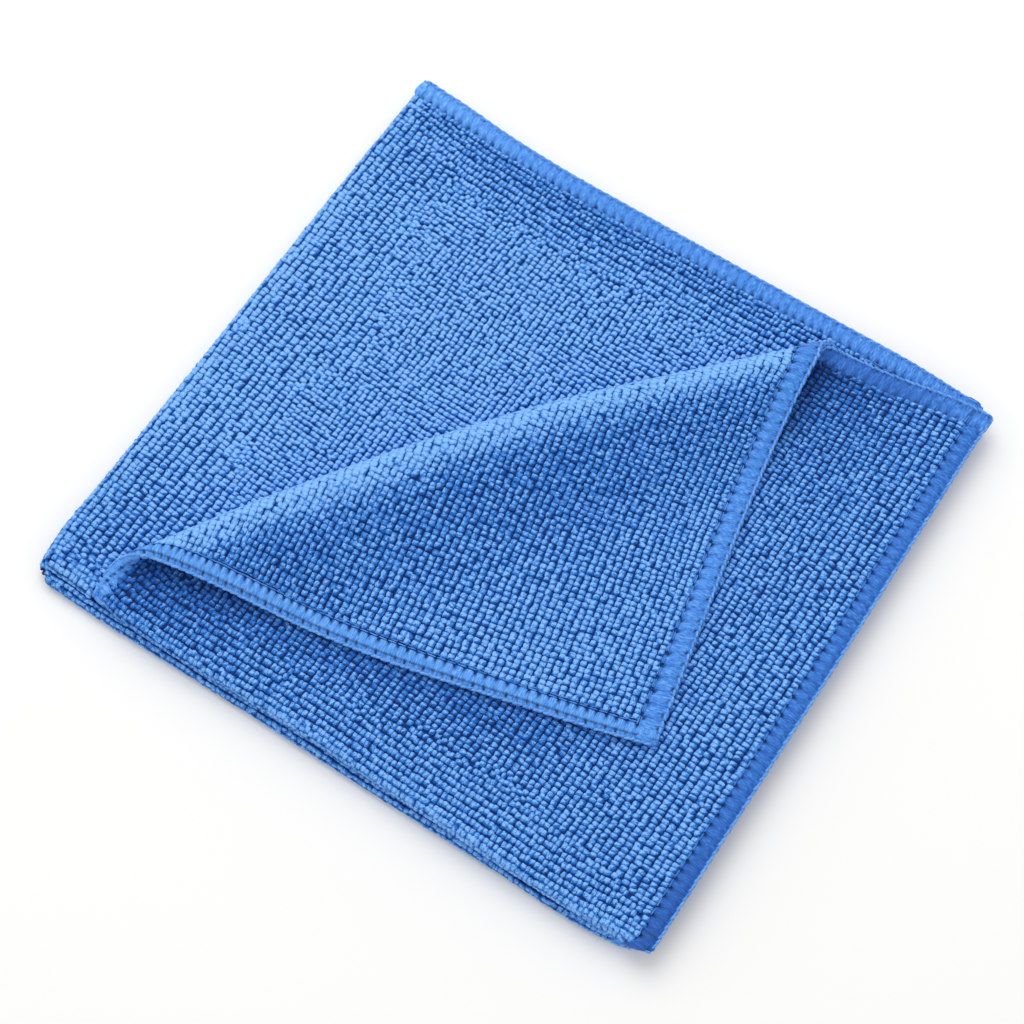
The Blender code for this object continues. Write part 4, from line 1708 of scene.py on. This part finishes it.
@dataclass
class Studio:
    """A pale floor, soft light from behind and the left, and the camera where the photograph was taken."""

    azimuth: float = math.radians(33.717)
    elevation: float = math.radians(69.182)
    distance: float = 691.8 * MM
    target: tuple[float, float, float] = (0.060 * MM, -5.078 * MM, 0.0)
    lens: float = 84.41
    light_azimuth: float = math.radians(-135.0)
    light_elevation: float = math.radians(60.0)
    light_distance: float = 1.1
    light_size: float = 0.9
    light_watts: float = 5.8
    sky: float = 0.76

    def floor(self) -> None:
        """A matt white floor, larger than the view."""
        deselect_all()
        bpy.ops.mesh.primitive_plane_add(size=6.0, location=(0.0, 0.0, 0.0))
        floor = bpy.context.object
        floor.name = "floor"
        material, _, _ = new_material(
            "matt_white_floor", Base_Color=linear("#f8f8f6"), Roughness=0.9, Specular_IOR_Level=0.1
        )
        floor.data.materials.append(material)

    def light(self) -> None:
        """Adds a soft square light that faces the cloth."""
        data = bpy.data.lights.new("key_light", "AREA")
        data.size = self.light_size
        data.energy = self.light_watts
        lamp = linked("key_light", data)
        stand(lamp, self.light_azimuth, self.light_elevation, self.light_distance, Vector())

    def camera(self) -> None:
        """Adds the camera at the photograph's angle."""
        data = bpy.data.cameras.new("camera")
        data.lens = self.lens
        data.sensor_width = 36.0
        data.clip_start = 0.01
        camera = linked("camera", data)
        stand(camera, self.azimuth, self.elevation, self.distance, Vector(self.target))
        bpy.context.scene.camera = camera

    def build(self) -> None:
        """Sets up the floor, the light, the world and the camera."""
        self.floor()
        self.light()
        world = bpy.data.worlds.new("studio")
        world.use_nodes = True
        background = world.node_tree.nodes["Background"]
        background.inputs["Color"].default_value = (1.0, 1.0, 1.0, 1.0)
        background.inputs["Strength"].default_value = self.sky
        bpy.context.scene.world = world
        bpy.context.scene.view_settings.view_transform = "Standard"
        self.camera()


def main() -> None:
    """Builds the cloth and the studio, and attaches each piece to the cloth's body."""
    logging.basicConfig(level=logging.INFO, format="%(message)s")
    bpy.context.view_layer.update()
    ground = Ground().build(GroundKnit().material())
    pile = Pile().build()
    hems = Overlock().build(OverlockThread().material())
    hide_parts("cloth")
    for piece in [ground] + pile + hems:
        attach(piece, "root")
    Studio().build()


if __name__ == "__main__":
    main()
